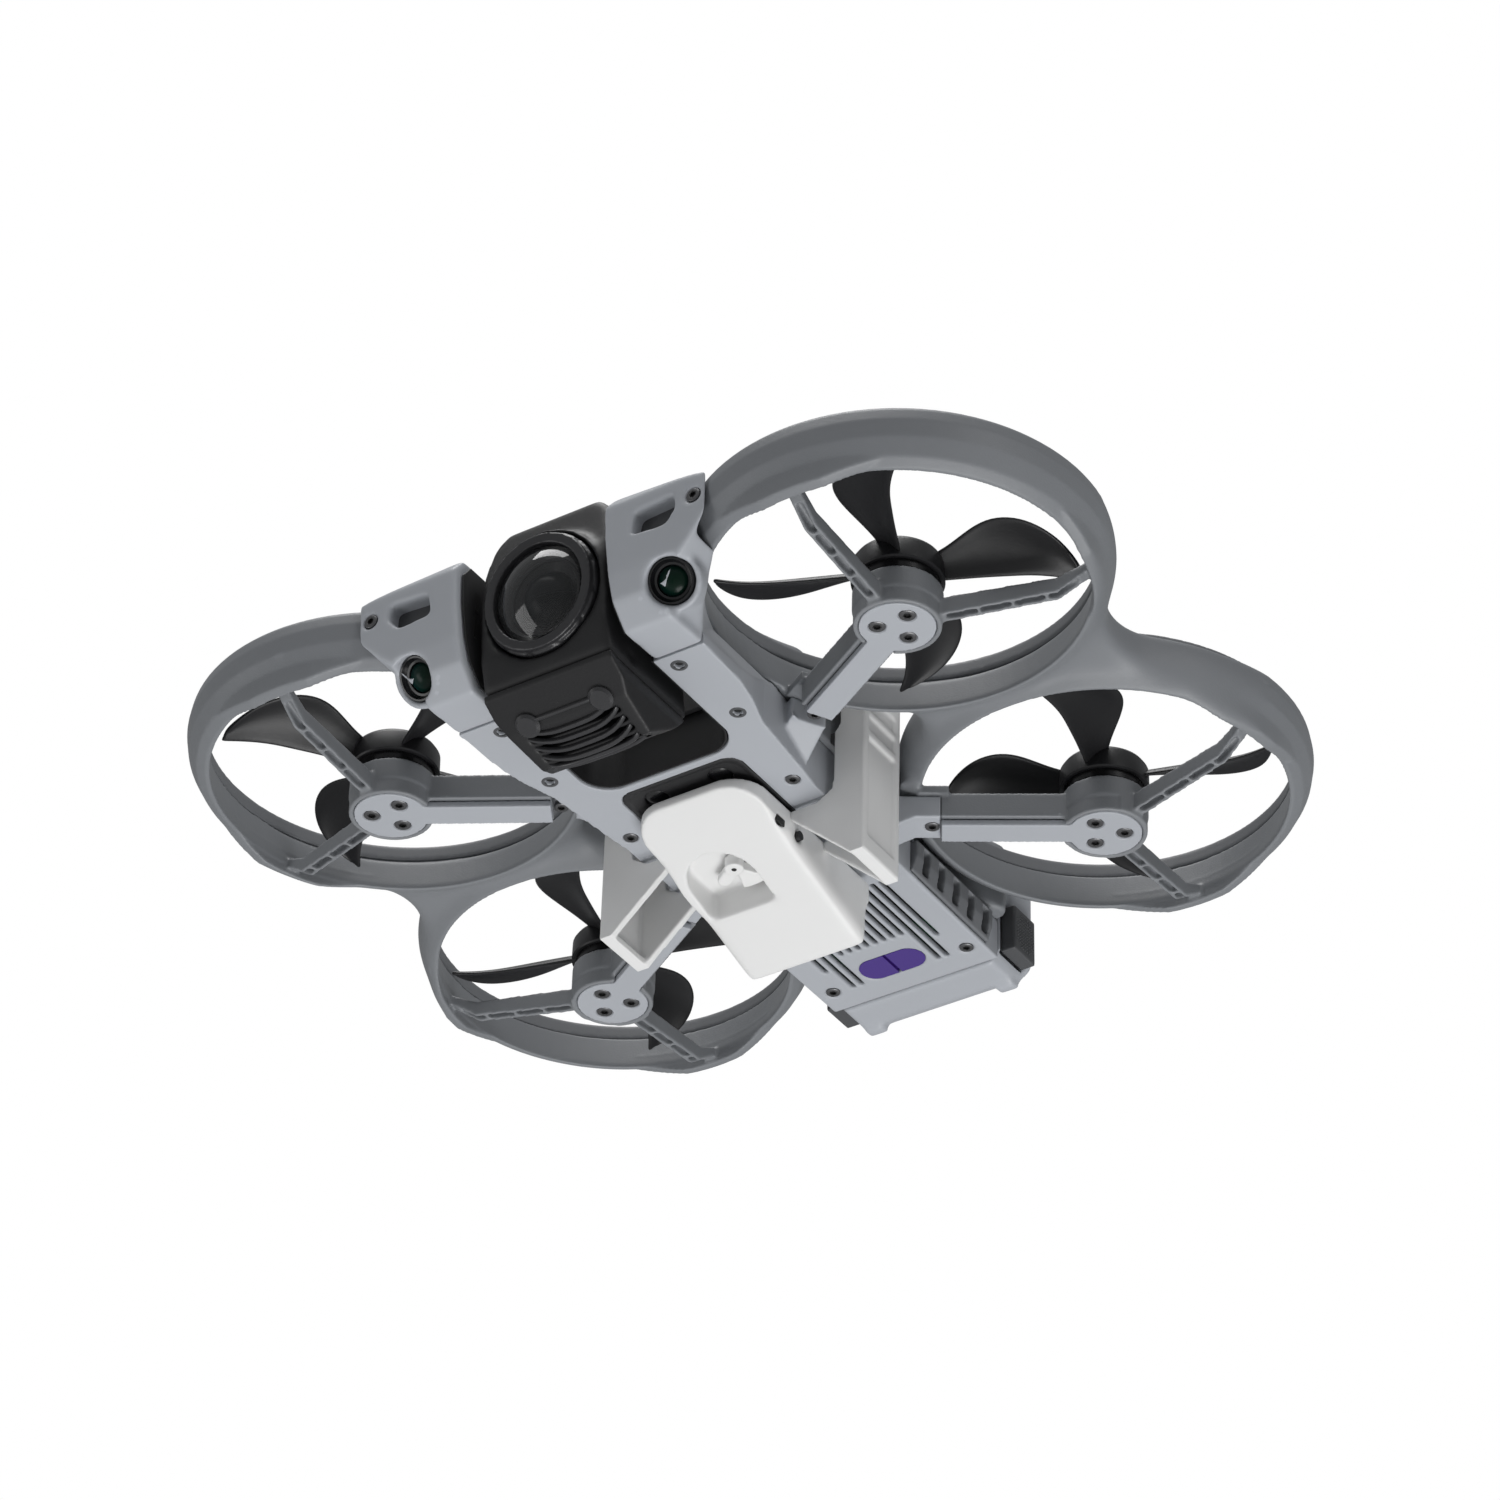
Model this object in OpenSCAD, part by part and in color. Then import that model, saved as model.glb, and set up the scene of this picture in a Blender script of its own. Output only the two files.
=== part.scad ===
// Ducted camera quadcopter with a clip-on payload launcher.
// Front is -Y, +X is the right-hand side seen from behind, +Z is up.
// The origin lies under the centre of the four motors, on the plane of the clamp feet.

/* [Ducts] */
// Inner radius of each propeller duct at its lower edge
duct_r = 44.7; // [40:0.1:56]
// Radial thickness of a guard ring
ring_w = 6.3; // [5:0.1:8]
// Height of a guard ring
ring_h = 14.3; // [12:0.1:18]
// Width of the bridge between a front and a rear duct
bridge_w = 5.9; // [4:0.1:8]
// Fillet radius at the outer waist between two ducts
waist_fillet_r = 18; // [12:1:24]
// Width of the legs that carry the motor mounts
strut_w = 3.4; // [3:0.1:4.2]
// Width of the arms that join the motor mounts to the body
arm_w = 9.6; // [8:0.1:12]

/* [Propulsion] */
// Radius of a propeller
prop_r = 42.5; // [35:0.1:43.5]
// Radius of the cup that holds a motor
cup_r = 10.6; // [9.6:0.1:13]
// Radius of a motor shaft
shaft_r = 1.0; // [0.8:0.05:1.3]
// Radial running clearance of a shaft in its bearings
running_gap = 0.03; // [0.02:0.01:0.06]
// Pitch angle of the blades
blade_pitch = 24; // [16:1:30]

/* [Body] */
// Width of the body between the front ducts
waist_w = 42; // [40:0.5:52]
// Width of the body at its middle
body_w = 56; // [52:0.5:68]
// Height of the body's top above the motor mount plane
body_top = 31; // [29:0.5:38]
// Depth of the belly below the motor mount plane
belly_depth = 5.2; // [4.2:0.1:6.4]
// Thickness of the moulded walls
wall_t = 2; // [1.6:0.1:2.4]
// Thread hole radius of the accessory holes in the belly
accessory_hole_r = 1.1; // [0.9:0.05:1.4]

/* [Camera] */
// Width of the tilting camera
camera_w = 36; // [30:0.5:38]
// Clearance between the camera and the fork on each side
camera_gap = 2.5; // [2:0.1:3.2]
// Radius of the lens ring
lens_ring_r = 15.5; // [13:0.1:16.5]
// Radius of the camera's pivot pins
pivot_r = 2; // [1.6:0.1:2.4]

/* [Battery] */
// Width of the battery pack
battery_w = 36; // [30:0.5:37]
// Height of the battery pack
battery_h = 17; // [14:0.5:18]
// Sliding clearance of the pack in its bay
battery_gap = 0.35; // [0.3:0.05:0.5]
// Travel of the latch buttons
latch_travel = 1.5; // [1.2:0.1:1.8]

/* [Launcher] */
// Width of the launcher
launcher_w = 34; // [30:0.5:40]
// Length of the launcher
launcher_l = 55.4; // [50:0.5:62]
// Height of the feet below the motor mount plane
stand_h = 24.5; // [22:0.5:29]
// Width of a clamp along the body
clamp_w = 16.4; // [14:0.2:17]
// Thickness of the rubber pads
pad_t = 1.2; // [1:0.1:1.4]

/* [Hidden] */
$fn = 72;
// Overlap that makes a cut run clear of a face
cut = 1;

// Radius of a guard ring's outer face
ring_r = duct_r + ring_w;
// Position of the motors from the middle of the part
motor_x = waist_w / 2 + ring_r;
motor_y = duct_r + bridge_w / 2;
// Lower and upper edge of the guard rings
ring_z = 10;
ring_top = ring_z + ring_h;
// Height of the seam under the separate rim
rim_z = ring_top - 4.6;
rim_in_r = duct_r + 1.5;
rim_out_r = ring_r - 2;
// Clearance between the guards and the body
guard_gap = 0.3;

// Stations along the body, tied to the motors' rows
nose_y = 3.85 - motor_y - ring_r;
fork_y = -motor_y - 23.75;
bay_back_y = -motor_y + 13.65;
deck_end_y = motor_y + 29.85;
tail_y = motor_y + 45.4;
// Plane between the belly frame and the top shell
part_z = 9.3;
// Depth of the rear belly below the motor mount plane
rear_depth = belly_depth - 3;
// Half widths of the body
belly_half = body_w / 2 - 1.5;
rear_half = 24;
cavity_half = camera_w / 2 + camera_gap;
fork_half = cavity_half + 14;
bay_corner_r = 8;
// Screw ears where the arms meet the belly
ear_x = body_w / 2 + 8.3;
ear_front_y = -motor_y + 20.65;
ear_rear_y = motor_y - 21.65;
ear_z = 1.8;
// Accessory holes in the fork
accessory_front = [fork_half - 9.5, fork_y + 4.1];
accessory_rear = [fork_half - 7.8, fork_y + 26.3];
// Raised screws of the belly, screws of the deck's end and of the guards
belly_screw = [23.2, -motor_y + 31.75];
deck_screw = [19.6, deck_end_y - 7.9];
guard_screw_x = fork_half + 11.1;
guard_screw_z = 18.3;
// Side vents: start, length, number of slots and their pitch
vent_y0 = deck_end_y - 42;
vent_l = 36;
vent_n = 5;
vent_pitch = 7;
// Cooling slots in the rear belly
slot_y0 = deck_end_y - 43.5;
slot_pitch = 2.5;
slot_w = 1.3;
// Ranging windows: middle, and radius of their round ends
ranging_y = deck_end_y - 11.3;
ranging_r = 4.2;
ranging_half = 9;
// Position lenses in the sensor panel
sensor_x = 9;
sensor_y = bay_back_y + 8.5;
sensor_r = 3;
// Middle of the cooling fan and radius of its pin
fan_y = bay_back_y + 20;
fan_pin_r = 0.8;

// Motor mounts
cover_r = 9;
cover_t = 1.5;
cup_floor_z = 3;
stator_r = 7;
bell_r = cup_r - 0.8;
bell_z = ring_z + 0.6;
bell_top = bell_z + 2.5;
bearing_r = shaft_r + 1.6;
hub_screw_ring_r = 4.72;
screw_head_r = 2;
screw_shank_r = 0.9;
prop_hub_r = 11;
blade_t = 1.2;
strut_kink_r = duct_r - 7.2;

// Camera: pivot axis and lens planes
pivot_y = fork_y - pivot_r - 0.3;
pivot_z = 10.5;
tilt_motor_r = 7.5;
fisheye_r = 5.6;
lens_z = 11.7;
lens_dy = 14.5;
lens_tilt = 9.5;

// Battery bay
bay_z = part_z + 1.7;
battery_front_y = 8.5;
battery_half = battery_w / 2;
tail_half = 26;
tail_foot_half = 21.3;
tail_bottom = -rear_depth;
tail_gap = 0.6;
cell_pitch = (battery_h - 3.2) / 4;
latch_y = deck_end_y + 6.8;
latch_z = 7.5;
latch_w = 10;
latch_h = 13;

// Launcher and clamps
launcher_front_y = 1 - launcher_l / 2;
launcher_rear_y = 1 + launcher_l / 2;
launcher_top = -belly_depth - pad_t;
launcher_nose_z = -9.1;
launcher_t = 1.6;
launcher_half = launcher_w / 2;
// Charging port and button in the launcher's side
port_y = launcher_front_y + 13.7;
port_z = launcher_top - 6.2;
button_y = launcher_front_y + 23.3;
button_z = launcher_top - 5.2;
nose_corner_r = 9;
clamp_y = 1 - clamp_w / 2;
clamp_out_x = motor_x - sqrt(pow(ring_r, 2) - pow(motor_y - clamp_y - clamp_w, 2)) - 0.9;
clamp_t = 1.8;
pocket_x = -5.3;
pocket_r = 9;
pocket_y = launcher_front_y + 25.2;
pocket_roof = launcher_top - 4.4;
lever_x = pocket_x + 3.7;
lever_y = pocket_y - 1.5;
lever_z = pocket_roof - 3;
lever_pin_r = 1.2;
servo_gap = 0.3;
servo_top = launcher_top - launcher_t - servo_gap;

dark_grey = [0.23, 0.23, 0.24];
guard_grey = [0.45, 0.46, 0.48];
light_grey = [0.64, 0.66, 0.69];
black = [0.05, 0.05, 0.06];
white = [0.93, 0.93, 0.92];
violet = [0.25, 0.12, 0.48];
copper = [0.72, 0.42, 0.24];
steel = [0.35, 0.35, 0.36];
board_green = [0.08, 0.24, 0.16];

// Lifts the airframe, whose own zero is the motor mount plane, onto its feet
module airframe() translate([0, 0, stand_h]) children();

// Puts children on the right-hand side, and mirrors them for the left
module side(s) mirror([s < 0 ? 1 : 0, 0, 0]) children();

// Stands an outline drawn in Y and Z up along X, from x0 over a width w
module along_x(x0, w)
    translate([x0, 0, 0]) rotate([90, 0, 90]) linear_extrude(w) children();

// Stands an outline drawn in X and Z up along Y, from y0 over a length l
module along_y(y0, l)
    translate([0, y0 + l, 0]) rotate([90, 0, 0]) linear_extrude(l) children();

// A block between two heights over a plan outline
module slab(z0, z1) translate([0, 0, z0]) linear_extrude(z1 - z0) children();

// A plan rectangle with rounded corners
module round_rect(x0, y0, w, l, r) {
    translate([x0 + r, y0]) square([w - 2 * r, l]);
    translate([x0, y0 + r]) square([w, l - 2 * r]);
    for (x = [x0 + r, x0 + w - r], y = [y0 + r, y0 + l - r]) translate([x, y]) circle(r);
}

// ---- Guards ----

// Outline of a guard ring's solid, from its axis outwards
module ring_outline() polygon([
    [0, ring_z], [duct_r + 1, ring_z - 0.2], [duct_r + 3.4, ring_z + 1.4], [ring_r - 0.7, ring_z + 5.6],
    [ring_r, ring_z + 9.8], [ring_r - 0.5, ring_top - 1.2], [ring_r - 1.6, ring_top], [0, ring_top]]);

// The air passage, which widens slightly towards the top
module duct_bore() rotate_extrude($fn = 180) polygon([
    [0, ring_z - 2 * cut], [duct_r, ring_z - 2 * cut], [duct_r, ring_z + 1], [rim_in_r, rim_z],
    [rim_in_r + 0.4, ring_top - 0.6], [rim_in_r + 1.2, ring_top + cut], [0, ring_top + cut]]);

// Web with filleted edges that joins the front and rear rings, ending at a waist
module ring_web(dir, r, z0, z1) {
    reach = sqrt(pow(ring_r - 0.6 + r, 2) - pow(motor_y, 2));
    touch = ring_r / (ring_r + r);
    slab(z0, z1) difference() {
        polygon([for (p = [[0, 1], [reach * touch, 1 - touch], [reach * touch, touch - 1], [0, -1]])
            [motor_x + dir * p[0], motor_y * (abs(p[1]) == 1 ? p[1] * 0.3 : p[1])]]);
        translate([motor_x + dir * reach, 0]) circle(r);
    }
}

// A leg from a motor cup to the ring: a channel open at the bottom, with cross ribs
module strut(angle) rotate(angle) difference() {
    along_x_section(strut_w, [[cup_r - 0.8, 1], [strut_kink_r, 3.6], [duct_r + 0.8, ring_z - 0.6],
        [duct_r + 0.8, ring_z + 1.8], [strut_kink_r, 7.8], [cup_r - 0.8, 6]]);
    for (i = [0:3]) {
        u0 = cup_r + 0.9 + i * (strut_kink_r - cup_r) / 3.4;
        u1 = min(u0 + (strut_kink_r - cup_r) / 3.4 - 0.7, duct_r - 1.2);
        along_x_section(strut_w - 1.6, [[u0, -cut], [u1, -cut], [u1, strut_floor(u1)],
            [u0, strut_floor(u0)]]);
    }
}

// Height of the channel's inner face at distance u from the motor axis
function strut_floor(u) = u < strut_kink_r
    ? 3.4 + 2.4 * (u - cup_r) / (strut_kink_r - cup_r)
    : 5.8 + 3.4 * (u - strut_kink_r) / (duct_r - strut_kink_r);

// An outline in radius and height, given a width across
module along_x_section(w, points)
    translate([0, w / 2, 0]) rotate([90, 0, 0]) linear_extrude(w) polygon(points);

// Direction from a motor to its ear, and the distance between them
function arm_angle(ear_y, y) = atan2(ear_y - y, ear_x - motor_x);
function arm_length(ear_y, y) = norm([ear_x - motor_x, ear_y - y]);

// Cup, arm and legs of one motor mount, about the motor axis
module motor_mount(arm_dir, arm_len, legs, phase) difference() {
    union() {
        cylinder(r = cup_r, h = ring_z);
        for (a = legs) strut(a);
        rotate(arm_dir) translate([cup_r - 2, -arm_w / 2, cover_t + 0.3])
            cube([arm_len - cup_r - 0.1, arm_w, part_z - cover_t - 0.9]);
        rotate(arm_dir) translate([arm_len - 4, -arm_w / 2 - 0.8, part_z - 1.2])
            cube([duct_r - arm_len + 5, arm_w + 1.6, 2.4]);
        // Shoulder that carries the arm's load into the ring
        intersection() {
            rotate(arm_dir) translate([duct_r + 0.2, -arm_w / 2 - 2.4, part_z])
                cube([ring_w, arm_w + 4.8, 2.4]);
            cylinder(r = ring_r, h = ring_top, $fn = 180);
        }
    }
    translate([0, 0, -cut]) cylinder(r = cover_r + 0.1, h = cut + cover_t);
    rotate(arm_dir) translate([0, -arm_w / 2 + 1.1, -cut])
        cube([arm_len - 2, arm_w - 2.2, cut + cover_t + 0.6]);
    translate([0, 0, cup_floor_z]) cylinder(r = cup_r - 1.6, h = ring_z);
    for (i = [0:2]) rotate(phase + i * 120) translate([hub_screw_ring_r, 0, 0])
        cylinder(r = screw_shank_r + 0.1, h = cup_floor_z + cut, $fn = 24);
    difference() {
        translate([0, 0, -cut]) cylinder(r = cup_r + 0.1, h = cut + 4.5);
        translate([0, 0, -2 * cut]) cylinder(r = cup_r - 0.3, h = cut + 8);
        for (a = concat(legs, [arm_dir])) rotate(a) translate([0, -arm_w / 2, -2 * cut])
            cube([20, arm_w, 20]);
    }
}

// One side's guard: two ducts, their bridge and two motor mounts
module guard(s) airframe() side(s) color(guard_grey) {
    difference() {
        union() {
            for (y = [-motor_y, motor_y]) translate([motor_x, y, 0])
                rotate_extrude($fn = 180) ring_outline();
            ring_web(1, waist_fillet_r, ring_z + 2.6, ring_top - 0.8);
            ring_web(-1, 6, ring_z + 2.6, ring_top - 0.8);
        }
        for (y = [-motor_y, motor_y]) translate([motor_x, y, 0]) {
            duct_bore();
            translate([0, 0, rim_z]) cylinder(r = rim_out_r, h = ring_h, $fn = 180);
        }
        pod_seam_cut();
        at_fisheye() translate([0, 0, -7.2]) cylinder(r = fisheye_r + 0.2, h = 10);
    }
    translate([motor_x, -motor_y, 0]) motor_mount(arm_angle(ear_front_y, -motor_y),
        arm_length(ear_front_y, -motor_y), [-90, 20], hub_phase(-1));
    translate([motor_x, motor_y, 0]) motor_mount(arm_angle(ear_rear_y, motor_y),
        arm_length(ear_rear_y, motor_y), [-12, 90], hub_phase(1));
}

// Pocket for the guard screw's boss where the pod overlaps the ring
module pod_seam_cut() translate([guard_screw_x, nose_y, guard_screw_z]) rotate([-90, 0, 0])
    cylinder(r = screw_shank_r + 0.1, h = 7, $fn = 24);

// The separate upper rim that closes both ducts of one side
module guard_rim(s) airframe() side(s) color(dark_grey * 1.6) difference() {
    for (y = [-motor_y, motor_y]) translate([motor_x, y, rim_z])
        cylinder(r = rim_out_r, h = ring_top - rim_z, $fn = 180);
    for (y = [-motor_y, motor_y]) translate([motor_x, y, 0]) duct_bore();
}

// Light cover under one motor mount and its arm
module arm_cover(s, y, ear_y) airframe() side(s) color(light_grey) translate([motor_x, y, 0]) difference() {
    union() {
        cylinder(r = cover_r, h = cover_t);
        rotate(arm_angle(ear_y, y)) translate([0, -arm_w / 2 + 1.3, 0])
            cube([arm_length(ear_y, y) - 2.2, arm_w - 2.6, cover_t + 0.3]);
    }
    for (i = [0:2]) rotate(hub_phase(y) + i * 120) translate([hub_screw_ring_r, 0, -cut]) {
        cylinder(r = screw_shank_r + 0.1, h = 6, $fn = 24);
        cylinder(r = screw_head_r + 0.2, h = cut + 0.8, $fn = 32);
    }
}

// Direction of the first hub screw on a front or rear motor
function hub_phase(y) = y < 0 ? 90 : 30;

module guard_left() guard(-1);
module guard_right() guard(1);
module guard_rim_left() guard_rim(-1);
module guard_rim_right() guard_rim(1);
module arm_cover_front_left() arm_cover(-1, -motor_y, ear_front_y);
module arm_cover_front_right() arm_cover(1, -motor_y, ear_front_y);
module arm_cover_rear_left() arm_cover(-1, motor_y, ear_rear_y);
module arm_cover_rear_right() arm_cover(1, motor_y, ear_rear_y);

// ---- Motors and propellers ----

// Puts children on the axis of one motor
module at_motor(s, row) airframe() translate([s * motor_x, row * motor_y, 0]) children();

// Wound core on its base plate, with a tube that holds the bearings
module stator(s, row) at_motor(s, row) color(copper) difference() {
    union() {
        translate([0, 0, cup_floor_z]) cylinder(r = cup_r - 1.9, h = 1.2);
        translate([0, 0, cup_floor_z]) cylinder(r = bearing_r + 0.9, h = ring_z - cup_floor_z);
        for (i = [0:8]) rotate(i * 40) translate([bearing_r, -0.9, 5]) {
            cube([stator_r - bearing_r - 0.6, 1.8, 4]);
            translate([stator_r - bearing_r - 1.2, -0.9, 0]) cube([1.0, 3.6, 4]);
        }
    }
    translate([0, 0, cup_floor_z - cut]) cylinder(r = bearing_r, h = ring_z);
    for (i = [0:2]) rotate(hub_phase(row) + i * 120) translate([hub_screw_ring_r, 0, cup_floor_z - cut])
        cylinder(r = screw_shank_r + 0.1, h = 1.2 + 2 * cut, $fn = 24);
}

// Two ball bearings in each motor's tube
module motor_bearings() for (s = [-1, 1], row = [-1, 1], z = [cup_floor_z + 0.5, ring_z - 2.2])
    at_motor(s, row) color(steel) translate([0, 0, z]) difference() {
        cylinder(r = bearing_r, h = 2);
        translate([0, 0, -cut]) cylinder(r = shaft_r + running_gap, h = 2 + 2 * cut);
    }

// Bell with its magnet ring and shaft
module rotor(s, row) at_motor(s, row) color(black) {
    translate([0, 0, bell_z]) cylinder(r = bell_r, h = bell_top - bell_z);
    difference() {
        translate([0, 0, 4.8]) cylinder(r = stator_r + 1.5, h = bell_z - 4.7);
        translate([0, 0, 4.8 - cut]) cylinder(r = stator_r + 0.4, h = bell_z - 4.8 + cut);
    }
    translate([0, 0, cup_floor_z + 0.4]) cylinder(r = shaft_r, h = bell_top + 6 - cup_floor_z);
}

// Plan outline of a blade along +X, with its leading edge towards +Y
module blade_outline() {
    c = prop_r / 42.5;
    polygon([[9.6 * c, -3.4], [20 * c, -4.3], [30 * c, -5.4], [37.5 * c, -7.8], [41.3 * c, -9.4],
        [42 * c, -7.2], [41.1 * c, -2.4], [38.8 * c, 2.6], [35.3 * c, 6.8], [30.5 * c, 9.9],
        [25 * c, 10.9], [20 * c, 9.6], [15 * c, 6.3], [9.6 * c, 3.4]]);
}

// Four-bladed propeller; turn is +1 where its leading edges face clockwise from above
module propeller(s, row, turn, phase) at_motor(s, row) mirror([0, turn > 0 ? 1 : 0, 0])
    color(dark_grey) rotate(turn > 0 ? -phase : phase) difference() {
        union() {
            translate([0, 0, bell_top]) cylinder(r = prop_hub_r, h = 6.4);
            for (i = [0:3]) rotate(i * 90) translate([0, 0, bell_top + 3.3]) rotate([blade_pitch, 0, 0])
                linear_extrude(blade_t) blade_outline();
        }
        translate([0, 0, bell_top - cut]) cylinder(r = shaft_r + 0.02, h = 20);
        translate([0, 0, bell_top - cut]) difference() {
            cylinder(r = prop_hub_r - 1.2, h = 4 + cut);
            translate([0, 0, -cut]) cylinder(r = 3, h = 8);
        }
    }

module stator_front_left() stator(-1, -1);
module stator_front_right() stator(1, -1);
module stator_rear_left() stator(-1, 1);
module stator_rear_right() stator(1, 1);
module rotor_front_left() rotor(-1, -1);
module rotor_front_right() rotor(1, -1);
module rotor_rear_left() rotor(-1, 1);
module rotor_rear_right() rotor(1, 1);
module propeller_front_left() propeller(-1, -1, -1, 240);
module propeller_front_right() propeller(1, -1, 1, 19);
module propeller_rear_left() propeller(-1, 1, 1, 10);
module propeller_rear_right() propeller(1, 1, -1, 20);

// Screw with a head and a hexagonal socket, drawn head down
module screw(head_r, shank_r, head_h, l) difference() {
    union() {
        cylinder(r = head_r, h = head_h, $fn = 32);
        cylinder(r = shank_r, h = head_h + l, $fn = 24);
    }
    translate([0, 0, -cut]) cylinder(r = head_r * 0.45, h = cut + head_h * 0.6, $fn = 6);
}

// Three screws up through each motor cover
module hub_screws() for (s = [-1, 1], row = [-1, 1]) at_motor(s, row) color(steel)
    for (i = [0:2]) mirror([s < 0 ? 1 : 0, 0, 0]) rotate(hub_phase(row) + i * 120)
        translate([hub_screw_ring_r, 0, 0.1]) screw(screw_head_r, screw_shank_r, 0.7, 3.4);

// Places children at every body screw, each with its head down
module at_body_screws() for (s = [-1, 1]) side(s) {
    for (y = [ear_front_y, ear_rear_y]) translate([ear_x, y, ear_z]) children();
    translate([belly_screw[0], belly_screw[1], -belly_depth]) children();
    translate([deck_screw[0], deck_screw[1], -rear_depth]) children();
    translate([guard_screw_x, nose_y + 2, guard_screw_z]) rotate([-90, 0, 0]) children();
}

module body_screws() airframe() color(steel) at_body_screws() screw(1.8, 0.8, 0.8, 4);

// ---- Body ----

// Plan of the belly's right half, from the fork to the deck end
module belly_plan() polygon([[-cut, bay_back_y], [cavity_half, bay_back_y], [cavity_half, fork_y],
    [fork_half, fork_y], [fork_half - 0.6, -motor_y - 7.35], [fork_half - 2, -motor_y],
    [fork_half - 4.8, -motor_y + 8.65], [belly_half + 1, ear_front_y + 9], [belly_half, ear_front_y + 16],
    [belly_half, ear_rear_y - 16], [belly_half + 1, ear_rear_y - 8], [rear_half + 0.4, ear_rear_y + 8],
    [rear_half, deck_end_y], [-cut, deck_end_y]]);

// A screw ear, sloping down to the belly, in the arm's direction
module ear(ear_y, y) translate([ear_x, ear_y, 0]) rotate(arm_angle(ear_y, y) + 180)
    along_x_section(arm_w - 0.4, [[2, ear_z], [-4, ear_z], [-12, -belly_depth + 3], [-16, -belly_depth + 3],
        [-16, part_z - 1.2], [2, part_z - 1.2]]);

// Space under a duct that the fork's sloping flank leaves open to the air
module duct_clearance() translate([motor_x, -motor_y, 0]) intersection() {
    translate([0, 0, -12]) cylinder(r = duct_r, h = 12 + part_z + cut);
    along_y(-duct_r, 2 * duct_r) polygon([[fork_half + 0.2 - motor_x, -3],
        [fork_half - 7 - motor_x, part_z + 2 * cut], [0, part_z + 2 * cut], [0, -3]]);
}

module belly_frame() airframe() color(light_grey) difference() {
    union() {
        for (s = [-1, 1]) side(s) {
            slab(-belly_depth, part_z) belly_plan();
            ear(ear_front_y, -motor_y);
            ear(ear_rear_y, motor_y);
            translate([belly_screw[0], belly_screw[1], -belly_depth]) cylinder(r = 3.4, h = 2);
            // Rounded inner corner of the camera bay
            slab(-belly_depth, part_z) difference() {
                translate([cavity_half - bay_corner_r, bay_back_y - bay_corner_r])
                    square(bay_corner_r + 0.01);
                translate([cavity_half - bay_corner_r, bay_back_y - bay_corner_r]) circle(bay_corner_r);
            }
        }
    }
    // The rear belly lies higher than the front
    along_x(-40, 80) polygon([[22, -belly_depth - cut], [22, -belly_depth], [34, -rear_depth],
        [deck_end_y + cut, -rear_depth], [deck_end_y + cut, -belly_depth - cut]]);
    // Tray for the boards
    slab(-rear_depth + wall_t, part_z + cut) round_rect(-rear_half + wall_t + 2.2, bay_back_y + wall_t + 2,
        2 * (rear_half - wall_t - 2.2), deck_end_y - bay_back_y - 2 * wall_t - 2, 3);
    // Recess for the sensor panel
    slab(-belly_depth - cut, -belly_depth + 1.4) sensor_plan(0);
    for (x = [-sensor_x, sensor_x]) translate([x, sensor_y, -belly_depth])
        cylinder(r = sensor_r + 0.1, h = 9);
    // Cooling slots and the two ranging windows
    for (s = [-1, 1]) side(s) {
        for (i = [0:6]) slab(-rear_depth - cut, -rear_depth + wall_t + cut)
            translate([0.6 + i * slot_pitch, slot_y0]) square([slot_w, cooling_slot_l(i)]);
        duct_clearance();
        translate([rear_half - 1.6, vent_y0 - 0.2, -0.9]) cube([8, vent_l + 0.4, part_z]);
        slab(1, 7.4) for (i = [0:vent_n - 1]) translate([rear_half - 6, vent_y0 + 3.2 + i * vent_pitch])
            square([10, 3.4]);
        for (hole = [accessory_front, accessory_rear]) translate([hole[0], hole[1], -belly_depth - cut])
            cylinder(r = accessory_hole_r, h = cut + 7, $fn = 24);
    }
    slab(-rear_depth - cut, -rear_depth + wall_t + cut) ranging_plan();
    for (s = [-1, 1]) side(s) along_pivot(cavity_half - cut, cut + 0.8) circle(tilt_motor_r + 0.3);
    at_body_screws() translate([0, 0, -3]) {
        cylinder(r = 0.8, h = 8, $fn = 24);
        cylinder(r = 2, h = 3.8, $fn = 32);
    }
}

// Length of a cooling slot, shortened beside the ranging windows
function cooling_slot_l(i) = i < 4 ? 23 : (i == 6 ? 27.5 : 36.5);

// Plan of the sensor panel, inset by a gap
module sensor_plan(gap) round_rect(-17 + gap, bay_back_y + 2.4 + gap, 34 - 2 * gap, 30 - 2 * gap, 4);

// Dark glossy panel with a stepped rim ahead of the launcher
module sensor_panel() airframe() color(black) difference() {
    union() {
        slab(-belly_depth + 0.5, -belly_depth + 1.4) sensor_plan(0.1);
        slab(-belly_depth + 0.2, -belly_depth + 0.6) difference() {
            sensor_plan(0.1);
            sensor_plan(1.2);
        }
    }
    for (x = [-sensor_x, sensor_x]) translate([x, sensor_y, -belly_depth - cut])
        cylinder(r = sensor_r, h = 9);
}

// Two downward position lenses
module sensor_lenses() airframe() color(black) for (x = [-sensor_x, sensor_x])
    translate([x, sensor_y, 0]) intersection() {
        translate([0, 0, -belly_depth + 0.3]) cylinder(r = sensor_r - 0.1, h = 5);
        translate([0, 0, -belly_depth + 0.3 + 7]) sphere(r = 7);
    }

// Plan of the ranging windows: a slot with round ends
module ranging_plan() translate([0, ranging_y]) {
    square([2 * (ranging_half - ranging_r), 2 * ranging_r], center = true);
    for (s = [-1, 1]) translate([s * (ranging_half - ranging_r), 0]) circle(ranging_r);
}

// Pair of ranging windows, split by a thin bar
module ranging_windows() airframe() color(violet) difference() {
    slab(-rear_depth + 0.2, -rear_depth + wall_t) ranging_plan();
    slab(-rear_depth - cut, -rear_depth + 1.2) translate([-0.45, ranging_y - 2 * ranging_r])
        square([0.9, 4 * ranging_r]);
}

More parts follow.
